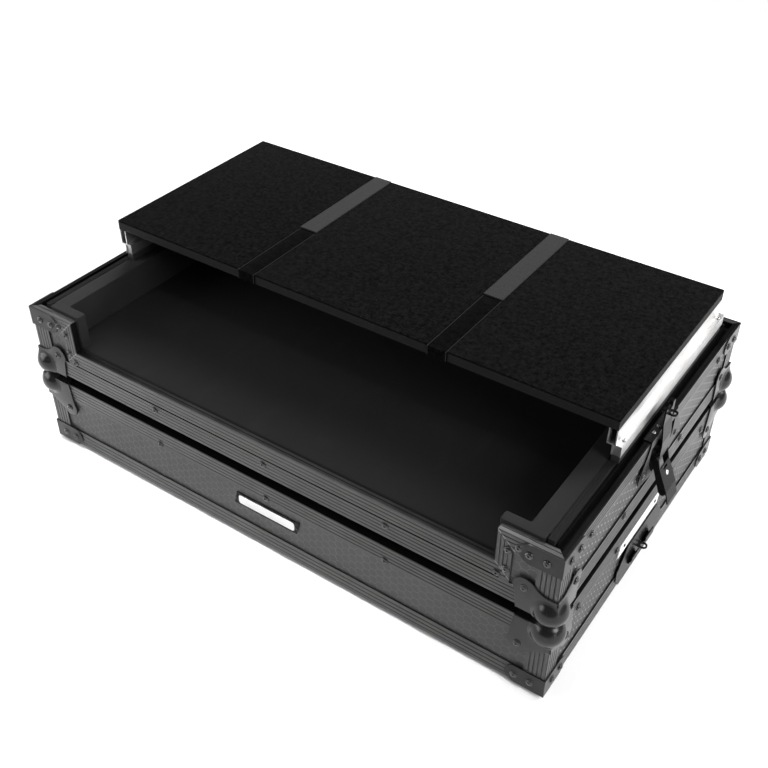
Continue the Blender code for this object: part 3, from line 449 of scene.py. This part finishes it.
# A mesh object from points and faces, its normals made to point outwards
def addPiece(name, points, faces, material, body, sharp=35.0):
    mesh = bpy.data.meshes.new(name)
    points = np.asarray(points, float).reshape(-1, 3)
    mesh.from_pydata(points.tolist(), [], [list(face) for face in faces])
    work = bmesh.new()
    work.from_mesh(mesh)
    bmesh.ops.remove_doubles(work, verts=work.verts, dist=near["own"])
    bmesh.ops.recalc_face_normals(work, faces=work.faces)
    work.to_mesh(mesh)
    work.free()
    mesh.shade_smooth()
    mesh.set_sharp_from_angle(angle=radians(sharp))
    mesh.materials.append(material)
    item = bpy.data.objects.new(name, mesh)
    bpy.context.scene.collection.objects.link(item)
    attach(item, body)
    return item


# A piece drawn in place of a node of the frame
def standIn(node, ending, shape, material, body, sharp=35.0):
    item = addPiece(node + ending, *shape, material, body, sharp)
    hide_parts(node)
    return item


# Puts several meshes given as (points, faces) into one
def joined(parts):
    points, faces, start = [], [], 0
    for some, around in parts:
        some = np.asarray(some, float).reshape(-1, 3)
        points.append(some)
        faces += [[index + start for index in face] for face in around]
        start += len(some)
    return np.concatenate(points), faces


# The two axes of each plane and the one across it, and the sides that pieces are mirrored to
planes = {"xy": (0, 1, 2), "xz": (0, 2, 1), "yz": (1, 2, 0)}
flanks = ("left", "right")


# Moves an outline inwards: each corner goes along the sum of its two edges' normals, over 1 plus
# their dot product, which keeps every edge at the same distance
def insetOutline(outline, distance):
    before, after = outline - np.roll(outline, 1, 0), np.roll(outline, -1, 0) - outline
    normals = []
    for edge in (before, after):
        unit = edge / np.linalg.norm(edge, axis=1, keepdims=True)
        normals.append(np.stack([-unit[:, 1], unit[:, 0]], 1))
    mitre = (normals[0] + normals[1]) / (1 + (normals[0] * normals[1]).sum(1, keepdims=True))
    return outline + mitre * distance


def counterClockwise(outline):
    outline = np.asarray(outline, float)
    x, y = outline[:, 0], outline[:, 1]
    area = (x * np.roll(y, -1) - y * np.roll(x, -1)).sum()
    return outline if area > 0 else outline[::-1]


# A slab between two levels with rounded edges: the outline is carried up a profile whose ends
# are quarter circles, so inset = r (1 - sin a) and level = low + r (1 - cos a)
def slab(outline, plane, low, high, radius, steps=4):
    outline = counterClockwise(outline)
    turn = np.linspace(0, pi / 2, steps + 1)
    insets = radius * (1 - np.sin(turn))
    rises = radius * (1 - np.cos(turn))
    insets = np.concatenate([insets, insets[::-1]])
    levels = np.concatenate([low + rises, high - rises[::-1]])
    rings = np.stack([insetOutline(outline, inset) for inset in insets])
    points = np.zeros((len(levels), len(outline), 3))
    first, second, third = planes[plane]
    points[:, :, first], points[:, :, second] = rings[:, :, 0], rings[:, :, 1]
    points[:, :, third] = levels[:, None]
    count, rows = len(outline), len(levels)
    faces = gridFaces(rows, count).tolist()
    faces += [list(range(count)), list(range((rows - 1) * count, rows * count))]
    return points.reshape(-1, 3), faces


# Rounds the corners of an outline: each is replaced by an arc of a quadratic curve, which takes
# at most a share of the edges beside it
roundShare = 0.45


def roundCorners(outline, radius, steps=4):
    outline = np.asarray(outline, float)
    before, after = np.roll(outline, 1, 0), np.roll(outline, -1, 0)
    share = np.linspace(0, 1, steps + 1)[None, :, None]
    reach = []
    for other in (before, after):
        edge = other - outline
        length = np.linalg.norm(edge, axis=1, keepdims=True)
        reach.append((outline + edge / length * np.minimum(radius, length * roundShare))[:, None])
    middle = outline[:, None]
    curve = (1 - share) ** 2 * reach[0] + 2 * share * (1 - share) * middle + share**2 * reach[1]
    return curve.reshape(-1, 2)


def rectangle(low, high):
    return np.array([(low[0], low[1]), (high[0], low[1]), (high[0], high[1]), (low[0], high[1])])


# The outline of a CAD node's end face, walked round once
def endOutline(node, plane):
    first, second, third = planes[plane]
    work = bmesh.new()
    work.from_mesh(nodes[node].data)
    bmesh.ops.remove_doubles(work, verts=work.verts, dist=near["node"])
    level = min(v.co[third] for v in work.verts)
    ends = [
        f for f in work.faces if all(abs(v.co[third] - level) < near["level"] for v in f.verts)
    ]
    rim = [e for e in work.edges if sum(f in ends for f in e.link_faces) == 1]
    after = {}
    for edge in rim:
        for a, b in (edge.verts, reversed(edge.verts)):
            after.setdefault(a.index, []).append(b)
    start = rim[0].verts[0]
    walk, last, here = [start], start, after[start.index][0]
    while here != start:
        walk.append(here)
        last, here = here, next(v for v in after[here.index] if v != last)
    outline = np.array([(v.co[first], v.co[second]) for v in walk])
    work.free()
    edges = outline - np.roll(outline, 1, 0)
    following = np.roll(edges, -1, 0)
    turns = edges[:, 0] * following[:, 1] - edges[:, 1] * following[:, 0]
    return outline[np.abs(turns) > near["turn"]]


# Rivets: domes of r = R cos t and height = H sin t on short straight rims, with a round hollow
# where the mandrel broke off, closed underneath. The hollow is a share of R. Its walls go down
# to its floor in two steps, as shares of the hollow's own radius and of H.
dome = {"rim": 0.0004, "hollow": 0.28, "walls": (0.85, 0.8), "floor": (0.85, 0.5), "sharp": 60.0}


def domes(places, facings, radius, rise, segments=14, rings=4):
    rim, hollow = dome["rim"], dome["hollow"]
    places, facings = np.asarray(places, float), np.asarray(facings, float)
    level = np.where(np.abs(facings[:, 2:3]) > 0.5, [[1.0, 0.0, 0.0]], [[0.0, 0.0, 1.0]])
    u = np.cross(facings, level)
    u /= np.linalg.norm(u, axis=1, keepdims=True)
    v = np.cross(facings, u)
    lift = np.linspace(0, np.arccos(hollow), rings)
    reach = [[radius], radius * np.cos(lift), radius * hollow * np.array(dome["walls"])]
    height = [[0.0], rim + (rise - rim) * np.sin(lift), rise * np.array(dome["floor"])]
    reach, height = np.concatenate(reach), np.concatenate(height)
    turn = np.linspace(0, 2 * pi, segments, endpoint=False)
    ring = np.cos(turn)[None, :, None] * u[:, None] + np.sin(turn)[None, :, None] * v[:, None]
    points = places[:, None, None] + reach[None, :, None, None] * ring[:, None]
    points = points + height[None, :, None, None] * facings[:, None, None]
    rows = len(reach)
    faces = gridFaces(rows, segments).tolist()
    faces += [list(range(segments)), list(range((rows - 1) * segments, rows * segments))]
    return joined([(some, faces) for some in points])


def addDomes(name, places, facings, size, material, body):
    addPiece(name, *domes(places, facings, *size), material, body, dome["sharp"])


# Foam floor, lid foam and side blocks: the rounding of their corners and of their edges, in steps
foamShape = {"corner": 0.009, "edge": 0.003, "steps": 6}
blockShape = {"corner": 0.0022, "edge": 0.0009, "steps": 5}


def makeFoams():
    made = foamShape
    for node, body in (("foam_floor", "base"), ("lid_foam", "lid")):
        low, high = limits(node)
        outline = roundCorners(rectangle(low, high), made["corner"])
        shape = slab(outline, "xy", low[2], high[2], made["edge"], made["steps"])
        standIn(node, "_skin", shape, floorFoam, body)
    made = blockShape
    for side in flanks:
        node = "side_block_" + side
        low, high = limits(node)
        outline = roundCorners(endOutline(node, "xy"), made["corner"])
        shape = slab(outline, "xy", low[2], high[2], made["edge"], made["steps"])
        standIn(node, "_skin", shape, blockFoam, "base")


# Track strip: its section's top edge carries fine ribs, z = top - depth (1 - cos)/2
trackLines = {"count": 4, "depth": 0.0005, "samples": 33}


def makeTracks():
    made = trackLines
    for side, way in (("left", -1), ("right", 1)):
        node = "track_strip_" + side
        low, high = limits(node)
        outline = endOutline(node, "xz")
        top = outline[np.abs(outline[:, 1] - high[2]) < near["level"]]
        inner, outer = sorted(np.abs(top[:, 0]))
        share = np.linspace(0, 1, made["samples"])
        x = way * (inner + (outer - inner) * share)
        z = high[2] - made["depth"] * (1 - np.cos(2 * pi * made["count"] * share)) / 2
        ribs = np.stack([x, z], 1)
        ribs = ribs[np.argsort(-ribs[:, 0])]
        # The rest of the section, walked from its topmost point, the rightmost one of two
        walk = counterClockwise(outline)
        walk = np.roll(walk, -int(np.argmax(walk[:, 1] + 1e-3 * walk[:, 0])), 0)
        rest = walk[np.abs(walk[:, 1] - high[2]) > near["level"]]
        shape = slab(np.concatenate([ribs, rest]), "xz", low[1], high[1], 0.0)
        standIn(node, "_lines", shape, trackLook, "base")


# Felt fields and tapes of the platform, with rounded edges
feltShape = {"edge": 0.0006, "steps": 3}
loopShape = {"corner": 0.0006, "cornerSteps": 3, "edge": 0.0002, "steps": 2}


def makeFelts():
    made = feltShape
    for name in ("left", "middle", "right"):
        node = "platform_felt_" + name
        low, high = limits(node)
        shape = slab(rectangle(low, high), "xy", low[2], high[2], made["edge"], made["steps"])
        item = standIn(node, "_nap", shape, feltLook, "platform")


def makeLoops(side):
    made = loopShape
    node = "loop_strip_" + side
    low, high = limits(node)
    outline = roundCorners(endOutline(node, "yz"), made["corner"], made["cornerSteps"])
    shape = slab(outline, "yz", low[0], high[0], made["edge"], made["steps"])
    item = standIn(node, "_pile", shape, loopLook, "platform")


# Hook tape: rows of small hooks, z = top - depth + depth |sin| |sin| along and across
hookRows = {"pitch": 0.0017, "depth": 0.0005, "cell": 0.0006, "sharp": 180.0}


def makeHooks(side):
    made = hookRows
    node = "hook_strap_" + side
    low, high = limits(node)
    counts = [int(round((high[axis] - low[axis]) / made["cell"])) + 1 for axis in (0, 1)]
    x, y = (np.linspace(low[axis], high[axis], counts[axis]) for axis in (0, 1))
    x, y = np.meshgrid(x, y, indexing="ij")
    along, across = (np.sin(pi * way / made["pitch"]) for way in (x - low[0], y - low[1]))
    rows = np.abs(along * across)
    top = np.stack([x, y, high[2] - made["depth"] * (1 - rows)], -1)
    bottom = np.stack([x, y, np.full_like(x, low[2])], -1)
    points = np.concatenate([top.reshape(-1, 3), bottom.reshape(-1, 3)])
    # Its walls and underside use only the border of the lower points
    size = counts[0] * counts[1]
    index = np.arange(size).reshape(counts)
    loop = np.concatenate([index[0, :-1], index[:-1, -1], index[-1, :0:-1], index[:0:-1, 0]])
    wall = np.stack([loop, np.roll(loop, -1), np.roll(loop, -1) + size, loop + size], 1)
    faces = gridFaces(*counts, False).tolist() + wall.tolist() + [(loop + size)[::-1].tolist()]
    keep = np.concatenate([np.arange(size), loop + size])
    renumber = np.zeros(2 * size, int)
    renumber[keep] = np.arange(len(keep))
    faces = [[int(renumber[i]) for i in face] for face in faces]
    item = standIn(node, "_hooks", (points[keep], faces), hookLook, "platform", made["sharp"])


# Stamped ball corners, smoother than the frame's. Each plate ends in a round lobe; lobeTurn is the
# lobe's arc in degrees. waist, shoulder, low and bend are shares of the lobe's radius, of its
# radius, of the waist's height and of the curve's middle.
corner = {
    "radius": 0.018, "inset": 0.008, "plate": 0.0016, "gap": 0.0003, "blend": 0.005,
    "proud": 0.00003, "foot": 0.042, "rise": 0.030, "dish": 0.01845, "edge": 0.0005,
    "reach": 0.0225, "sinkFrom": 0.3, "sinkOver": 0.6, "rays": (64, 96), "sharp": 40.0,
    "lobeRadius": 0.0125, "lobeFromEdge": 0.035, "lobeHeight": {"lid": 0.038, "base": 0.030},
    "lobeTurn": (-35, 150), "lobeSteps": 25, "waist": 0.35, "shoulder": 1.35, "low": 0.9,
    "bend": (0.9, 1.0), "bendSlack": 0.002, "bendSteps": 9,
    "flatShare": 0.7, "flatRadius": 0.001, "flatSteps": 2,
}


# Distance along each direction to the ball joined smoothly with the plates round it:
# the larger of R and the way to the plates, plus a quarter of the blend where they are equal
def stampedBall(ballZ, way, dishCentre):
    made = corner
    centre = np.array([halfWidth - made["inset"], -halfDepth + made["inset"], ballZ])
    outward = np.array([1.0, -1.0, way]) / sqrt(3.0)
    aside = np.cross(outward, [0.0, 0.0, 1.0])
    aside /= np.linalg.norm(aside)
    third = np.cross(outward, aside)
    down, around = made["rays"]
    polar = np.linspace(0, pi, down + 2)[1:-1]
    turn = np.linspace(0, 2 * pi, around, endpoint=False)
    ring = np.cos(turn)[:, None] * aside + np.sin(turn)[:, None] * third
    rays = np.cos(polar)[:, None, None] * outward + np.sin(polar)[:, None, None] * ring[None]
    poles = [np.broadcast_to(pole, (1, around, 3)) for pole in (outward, -outward)]
    rays = np.concatenate([poles[0], rays, poles[1]])
    signs = np.array([1.0, -1.0, way])
    plate = made["inset"] + made["gap"] + made["plate"] + made["proud"]
    facing = (rays * signs).max(-1)
    wayOut = plate / np.maximum(facing, 1e-3)
    shell = np.minimum(wayOut, made["reach"])
    overlap = np.maximum(made["blend"] - np.abs(shell - made["radius"]), 0) / made["blend"]
    reach = np.maximum(shell, made["radius"]) + overlap**2 * made["blend"] / 4
    local = rays * reach[..., None] * signs
    past = (wayOut - made["radius"]) / made["blend"] - made["sinkFrom"]
    share = np.clip(past / made["sinkOver"], 0, 1)
    seat = made["inset"] + made["gap"] + made["plate"] / 2
    inside = wayOut >= made["reach"]
    nearest = local.argmax(-1)[..., None]
    height = np.take_along_axis(local, nearest, -1)[..., 0]
    sunk = height - (plate - seat) * share**2 * (3 - 2 * share)
    np.put_along_axis(local, nearest, np.where(inside, seat, sunk)[..., None], -1)
    points = centre + local * signs
    if dishCentre is not None:
        away = points - dishCentre
        distance = np.linalg.norm(away, axis=-1, keepdims=True)
        deep = (distance < made["dish"]) & ~inside[..., None]
        points = np.where(deep, dishCentre + away / distance * made["dish"], points)
    return points.reshape(-1, 3), gridFaces(*rays.shape[:2]).tolist()


# Leg of a ball corner on one face, as distances from the edge and from the closed face: the lobe's
# arc, and a quadratic curve (1 - t)^2 a + 2 t (1 - t) b + t^2 c from it to the edge
def legOutline(lobeHeight):
    made = corner
    wrap = -made["gap"] - made["plate"]
    turn = np.radians(np.linspace(*made["lobeTurn"], made["lobeSteps"]))
    arc = np.stack([np.cos(turn), np.sin(turn)], 1) * made["lobeRadius"]
    lobe = [made["lobeFromEdge"], lobeHeight] + arc
    waist = lobeHeight - made["lobeRadius"] * made["waist"]
    rise = max(made["rise"], waist * made["low"])
    shoulder = made["lobeFromEdge"] - made["lobeRadius"] * made["shoulder"]
    start = np.array([(wrap, wrap), (made["foot"], wrap)])
    end = np.array([(made["plate"], rise), (wrap, rise)])
    middle = 0.5 * (lobe[-1] + end[0]) * made["bend"]
    middle = np.minimum(middle, np.array([shoulder, waist]) + made["bendSlack"])
    t = np.linspace(0, 1, made["bendSteps"])[1:-1, None]
    curve = (1 - t) ** 2 * lobe[-1] + 2 * t * (1 - t) * middle + t * t * end[0]
    return np.concatenate([start, lobe, curve, end])


def makeBallCorners():
    made = corner
    inset, foot = made["inset"], made["foot"]
    inner, outer = made["gap"], made["gap"] + made["plate"]
    baseBall = np.array([halfWidth - inset, -halfDepth + inset, baseBottom + inset])
    halves = (
        ("lid", lidTop, 1, lidTop - inset, baseBall),
        ("base", baseBottom, -1, baseBottom + inset, None),
    )
    for body, closed, way, ballZ, dishCentre in halves:
        outline = legOutline(made["lobeHeight"][body])
        heights = closed - way * outline[:, 1]
        front = np.stack([halfWidth - outline[:, 0], heights], 1)
        side = np.stack([-halfDepth + outline[:, 0], heights], 1)
        flat = [(-outer, -outer), (foot, -outer), (foot * made["flatShare"],) * 2, (-outer, foot)]
        flat = np.array([halfWidth, -halfDepth]) + np.array(flat) * [-1, 1]
        flat = roundCorners(flat, made["flatRadius"], made["flatSteps"])
        levels = sorted((closed + way * inner, closed + way * outer))
        points, faces = joined([
            stampedBall(ballZ, way, dishCentre),
            slab(front, "xz", -halfDepth - outer, -halfDepth - inner, made["edge"]),
            slab(side, "yz", halfWidth + inner, halfWidth + outer, made["edge"]),
            slab(flat, "xy", *levels, made["edge"]),
        ])
        for sideName, sideWay in (("right", 1), ("left", -1)):
            for endName, endWay in (("front", 1), ("back", -1)):
                node = f"{body}_ball_corner_{endName}_{sideName}"
                shape = points * [sideWay, endWay, 1], faces
                standIn(node, "_stamped", shape, cornerLook, body, made["sharp"])


# Rivets on the case: their size, how far the bars', braces' and corners' faces stand out, and
# their places. along is the distance from the middle of a face, fromEnd the one from its end.
# Levels go down from the lid's top or from the base's rim, or up from the base's bottom.
rivet = {
    "size": (0.0045, 0.0023), "bar": 0.0002, "brace": 0.0016, "corner": 0.0020,
    "along": (0.1635, 0.0), "alongSide": 0.076, "edge": {"lid": 0.020, "base": 0.0177},
    "braceFromEnd": (0.0155, 0.034), "braceLevel": {"lid": 0.01275, "base": 0.01375},
    "cornerFromEnd": 0.035, "backLevel": 0.010,
    "post": {"along": 0.169, "lid": 0.0205, "base": 0.0185},
    "cutOut": ((0.314, 0.012), (0.303, 0.0213), (0.303, 0.0473), (0.294, 0.0582)),
}


# Two mirrored spots on each of the sides, or one in their middle, with the ways that they face
def faceSpots(along, level, stand, sides=("front", "back")):
    spots = []
    for side in sides:
        way = {"front": -1, "back": 1, "left": -1, "right": 1}[side]
        for shift in sorted({along, -along}):
            if side in flanks:
                spots.append(((way * (halfWidth + stand), shift, level), (way, 0, 0)))
            else:
                spots.append(((shift, way * (halfDepth + stand), level), (0, way, 0)))
    return spots


def makeRivets():
    made, bar = rivet, rivet["bar"]
    halves = (
        ("lid", lidTop, -1, lidEdge + made["braceLevel"]["lid"], lidTop),
        ("base", baseBottom, 1, rimTop - made["braceLevel"]["base"], rimTop),
    )
    for body, closed, way, braceLevel, top in halves:
        edge = closed + way * made["edge"][body]
        lobe = closed + way * corner["lobeHeight"][body]
        spots = faceSpots(made["along"][0], edge, bar) + faceSpots(made["along"][1], edge, bar)
        spots += faceSpots(made["alongSide"], edge, bar, flanks)
        for fromEnd in made["braceFromEnd"]:
            spots += faceSpots(halfWidth - fromEnd, braceLevel, made["brace"])
            spots += faceSpots(halfDepth - fromEnd, braceLevel, made["brace"], flanks)
        spots += faceSpots(halfWidth - made["cornerFromEnd"], lobe, made["corner"])
        spots += faceSpots(halfDepth - made["cornerFromEnd"], lobe, made["corner"], flanks)
        if body == "base":
            spots += faceSpots(made["along"][0], top - made["backLevel"], bar, ("back",))
        spots += faceSpots(made["post"]["along"], top - made["post"][body], bar, flanks)
        if body == "base":
            for along, drop in made["cutOut"]:
                spots += faceSpots(along, top - drop, bar, ("front",))
        addDomes(body + "_rivets", *zip(*spots), made["size"], rivetLook, body)


# Blank badges: a white insert with round ends on the front plate, a bright strip on the side one.
# Sizes of rivets are radius, rise, segments and rings.
cover = 0.0001  # how far new pieces overlap what they sit on
badge = {
    "half": np.array([0.041, 0.0062]), "corner": 0.004, "steps": 5, "thick": 0.0009, "edge": 0.0003,
    "edgeSteps": 3, "frontRivets": (0.0435, 0.0005), "frontSize": (0.0019, 0.0012, 12, 3),
    "sideRivets": 0.042, "sideSize": (0.0022, 0.0012, 12, 3),
}


def makeBadges():
    made = badge
    low, high = limits("front_badge")
    middle, face = (low + high) / 2, low[1] - cover
    nodes["front_badge"].data.materials.clear()
    nodes["front_badge"].data.materials.append(steelLook)
    flat = middle[[0, 2]]
    outline = rectangle(flat - made["half"], flat + made["half"])
    outline = roundCorners(outline, made["corner"], made["steps"])
    levels = low[1] - made["thick"], face
    shape = slab(outline, "xz", *levels, made["edge"], made["edgeSteps"])
    addPiece("front_badge_insert", *shape, whiteLook, "lid")
    along, lift = made["frontRivets"]
    spots = [(middle[0] + way * along, face, middle[2] + way * lift) for way in (-1, 1)]
    addDomes("front_badge_rivets", spots, [(0, -1, 0)] * 2, made["frontSize"], rivetLook, "lid")
    low, high = limits("side_badge")
    middle = (low + high) / 2
    spots = [(high[0] + cover, middle[1] + way * made["sideRivets"], middle[2]) for way in (-1, 1)]
    addDomes("side_badge_rivets", spots, [(1, 0, 0)] * 2, made["sideSize"], rivetLook, "lid")


# The lever's hanging place: its fulcrum, its lean in degrees and its face
lever = {"out": 0.001, "height": 0.0524, "lean": 24.0, "face": 0.0024, "rivetAlong": 0.0262}
# Latch fittings: silver rivets on the dish's tab, screws on its flange and a rivet on the lever
latch = {
    "tabIn": 0.004, "tab": (-0.019, -0.007, 0.015), "tabSize": (0.0024, 0.0011, 12, 3),
    "flange": (0.0003, 0.0012), "screws": (-0.044, 0.044), "screwHeight": 0.0494,
    "screwSize": (0.0036, 0.0015, 14, 3), "leverSize": (0.0029, 0.0011, 14, 3),
}


def makeLatchFittings():
    made = latch
    lean, along, out = radians(lever["lean"]), lever["rivetAlong"], lever["face"]
    x = halfWidth + lever["out"] + along * sin(lean) + out * cos(lean)
    z = baseBottom + lever["height"] - along * cos(lean) + out * sin(lean)
    for side, way in (("left", -1), ("right", 1)):
        top = limits("latch_dish_" + side)[1][2] + cover
        spots = [(way * (halfWidth - made["tabIn"]), y, top) for y in made["tab"]]
        name = f"latch_{side}_tab_rivets"
        addDomes(name, spots, [(0, 0, 1)] * 3, made["tabSize"], silverLook, "base")
        face = way * (halfWidth + sum(made["flange"]) + cover)
        spots = [(face, y, baseBottom + made["screwHeight"]) for y in made["screws"]]
        name = f"latch_{side}_screws"
        addDomes(name, spots, [(way, 0, 0)] * 2, made["screwSize"], rivetLook, "base")
        name, facing = f"latch_{side}_lever_rivet", (way * cos(lean), 0.0, sin(lean))
        spots, body = [(way * x, 0.0, z)], "latch_lever_" + side
        addDomes(name, spots, [facing], made["leverSize"], silverLook, body)


# Black glide in each rail's lower channel, and the rivets in the right rail
glide = {
    "channel": 0.006, "width": 0.0105, "wall": 0.0014, "height": 0.0088, "edge": 0.0002,
    "steps": 2,
}
railRivets = {"across": 0.01325, "height": 0.0229, "fromEnd": 0.012, "size": (0.0024, 0.001, 12, 3)}


def makeGlides():
    made = glide
    wall, start = made["wall"], made["channel"]
    for side in flanks:
        low, high = limits("platform_rail_" + side)
        across = np.array([start + wall / 2 - cover, start + made["width"] - wall / 2 + cover])
        along = (low[1] + wall - cover, high[1] - wall + cover)
        outline = rectangle(*zip(low[0] + across, along))
        levels = low[2] - cover, low[2] + made["height"]
        shape = slab(outline, "xy", *levels, made["edge"], made["steps"])
        addPiece("platform_glide_" + side, *shape, glideLook, "platform")
    made = railRivets
    low, high = limits("platform_rail_right")
    x, z = low[0] + made["across"], low[2] + made["height"]
    spots = [(x, y, z) for y in (low[1] + made["fromEnd"], high[1] - made["fromEnd"])]
    addDomes("platform_rail_rivets", spots, [(0, 0, 1)] * 2, made["size"], silverLook, "platform")


makeFoams()
makeTracks()
makeFelts()
for flank in flanks:
    makeLoops(flank)
    makeHooks(flank)
print("stage: soft pieces made")
makeBallCorners()
makeRivets()
makeBadges()
makeLatchFittings()
makeGlides()
print("stage: hard pieces made")


# Better materials on the frame's own nodes: the first part of a name that fits
rules = (
    ("_front_panel", lamFront), ("_back_panel", lamFront), ("_left_panel", lamSide),
    ("_right_panel", lamSide), ("_top_panel", lamFlat), ("_bottom_panel", lamFlat),
    ("_frame", barLook), ("_rim_bar", barLook), ("brace", braceLook), ("latch_", steelLook),
    ("platform_rail", railLook), ("platform_board", boardLook), ("side_badge", whiteLook),
)
for name, item in nodes.items():
    fitting = [material for part, material in rules if part in name]
    if fitting:
        item.data.materials.clear()
        item.data.materials.append(fitting[0])
print("stage: frame dressed")


# Camera, solved from the photograph
view = {
    "place": (0.58437, -0.85043, 0.91021), "target": (-0.02232, 0.03784, 0.06736), "roll": 0.40,
    "lens": 48.49, "sensor": 36.0,
}


def addItem(name, data):
    item = bpy.data.objects.new(name, data)
    bpy.context.scene.collection.objects.link(item)
    return item


def aimed(place, target):
    return (Vector(target) - Vector(place)).to_track_quat("-Z", "Y")


def makeCamera():
    data = bpy.data.cameras.new("camera")
    data.lens, data.sensor_width = view["lens"], view["sensor"]
    item = addItem("camera", data)
    item.location = view["place"]
    turned = aimed(view["place"], view["target"]).to_matrix()
    turned = turned @ Matrix.Rotation(radians(view["roll"]), 3, "Z")
    item.rotation_euler = turned.to_euler()
    bpy.context.scene.camera = item


# Paper floor and grey surroundings. Each light's place, size, power, aim and spread in degrees.
centre = (0.0, 0.0, 0.12)
studio = {
    "around": 0.06, "floorHalf": 2.0, "floorLevel": -0.0005, "paper": 0.95, "roughness": 0.9,
    "specular": 0.1, "fibreScale": 250.0, "fibreShare": 0.05, "fibreDepth": 0.0002,
    "lights": {
        "key": ((-1.5, 1.8, 2.3), (1.5, 1.3), 90.0, centre, 180.0),
        "left": ((-1.9, -1.7, 0.9), (2.0, 1.3), 42.0, centre, 180.0),
        "strip": ((-0.15, -0.31, 1.25), (0.9, 0.12), 0.95, (-0.15, -0.31, 0.0), 30.0),
        "right": ((2.3, -0.5, 1.3), (1.2, 1.2), 53.0, (0.7, -0.3, 0.0), 180.0),
        "behind": ((1.5, 1.6, 1.6), (1.3, 1.3), 57.0, (0.9, 0.4, 0.0), 180.0),
    },
}


def makeFloor():
    made = studio
    half, level = made["floorHalf"], made["floorLevel"]
    mesh = bpy.data.meshes.new("floor")
    outline = rectangle((-half, -half), (half, half))
    mesh.from_pydata([(x, y, level) for x, y in outline.tolist()], [], [(0, 1, 2, 3)])
    floor = addItem("floor", mesh)
    paper = newLook("paper", made["paper"], made["roughness"], specular=made["specular"])
    paper.bump(paper.noise(made["fibreScale"], 2.0), made["fibreShare"], made["fibreDepth"])
    mesh.materials.append(paper.material)


# The world is white for the camera and dim for everything that it lights
def makeWorld():
    world = bpy.data.worlds.new("studio")
    bpy.context.scene.world = world
    world.use_nodes = True
    tree = world.node_tree
    background = tree.nodes["Background"]
    background.inputs["Color"].default_value = (1.0, 1.0, 1.0, 1.0)
    path = tree.nodes.new("ShaderNodeLightPath")
    level = tree.nodes.new("ShaderNodeMapRange")
    tree.links.new(path.outputs["Is Camera Ray"], level.inputs["Value"])
    level.inputs["To Min"].default_value = studio["around"]
    level.inputs["To Max"].default_value = 1.0
    tree.links.new(level.outputs["Result"], background.inputs["Strength"])


def makeLights():
    for name, (place, size, power, target, spread) in studio["lights"].items():
        data = bpy.data.lights.new(name, "AREA")
        data.shape = "RECTANGLE"
        data.size, data.size_y = size
        data.energy, data.spread = power, radians(spread)
        item = addItem(name, data)
        item.location = place
        item.rotation_euler = aimed(place, target).to_euler()


makeCamera()
makeFloor()
makeWorld()
makeLights()
bpy.context.scene.view_settings.view_transform = "Standard"
print("stage: camera and studio made")
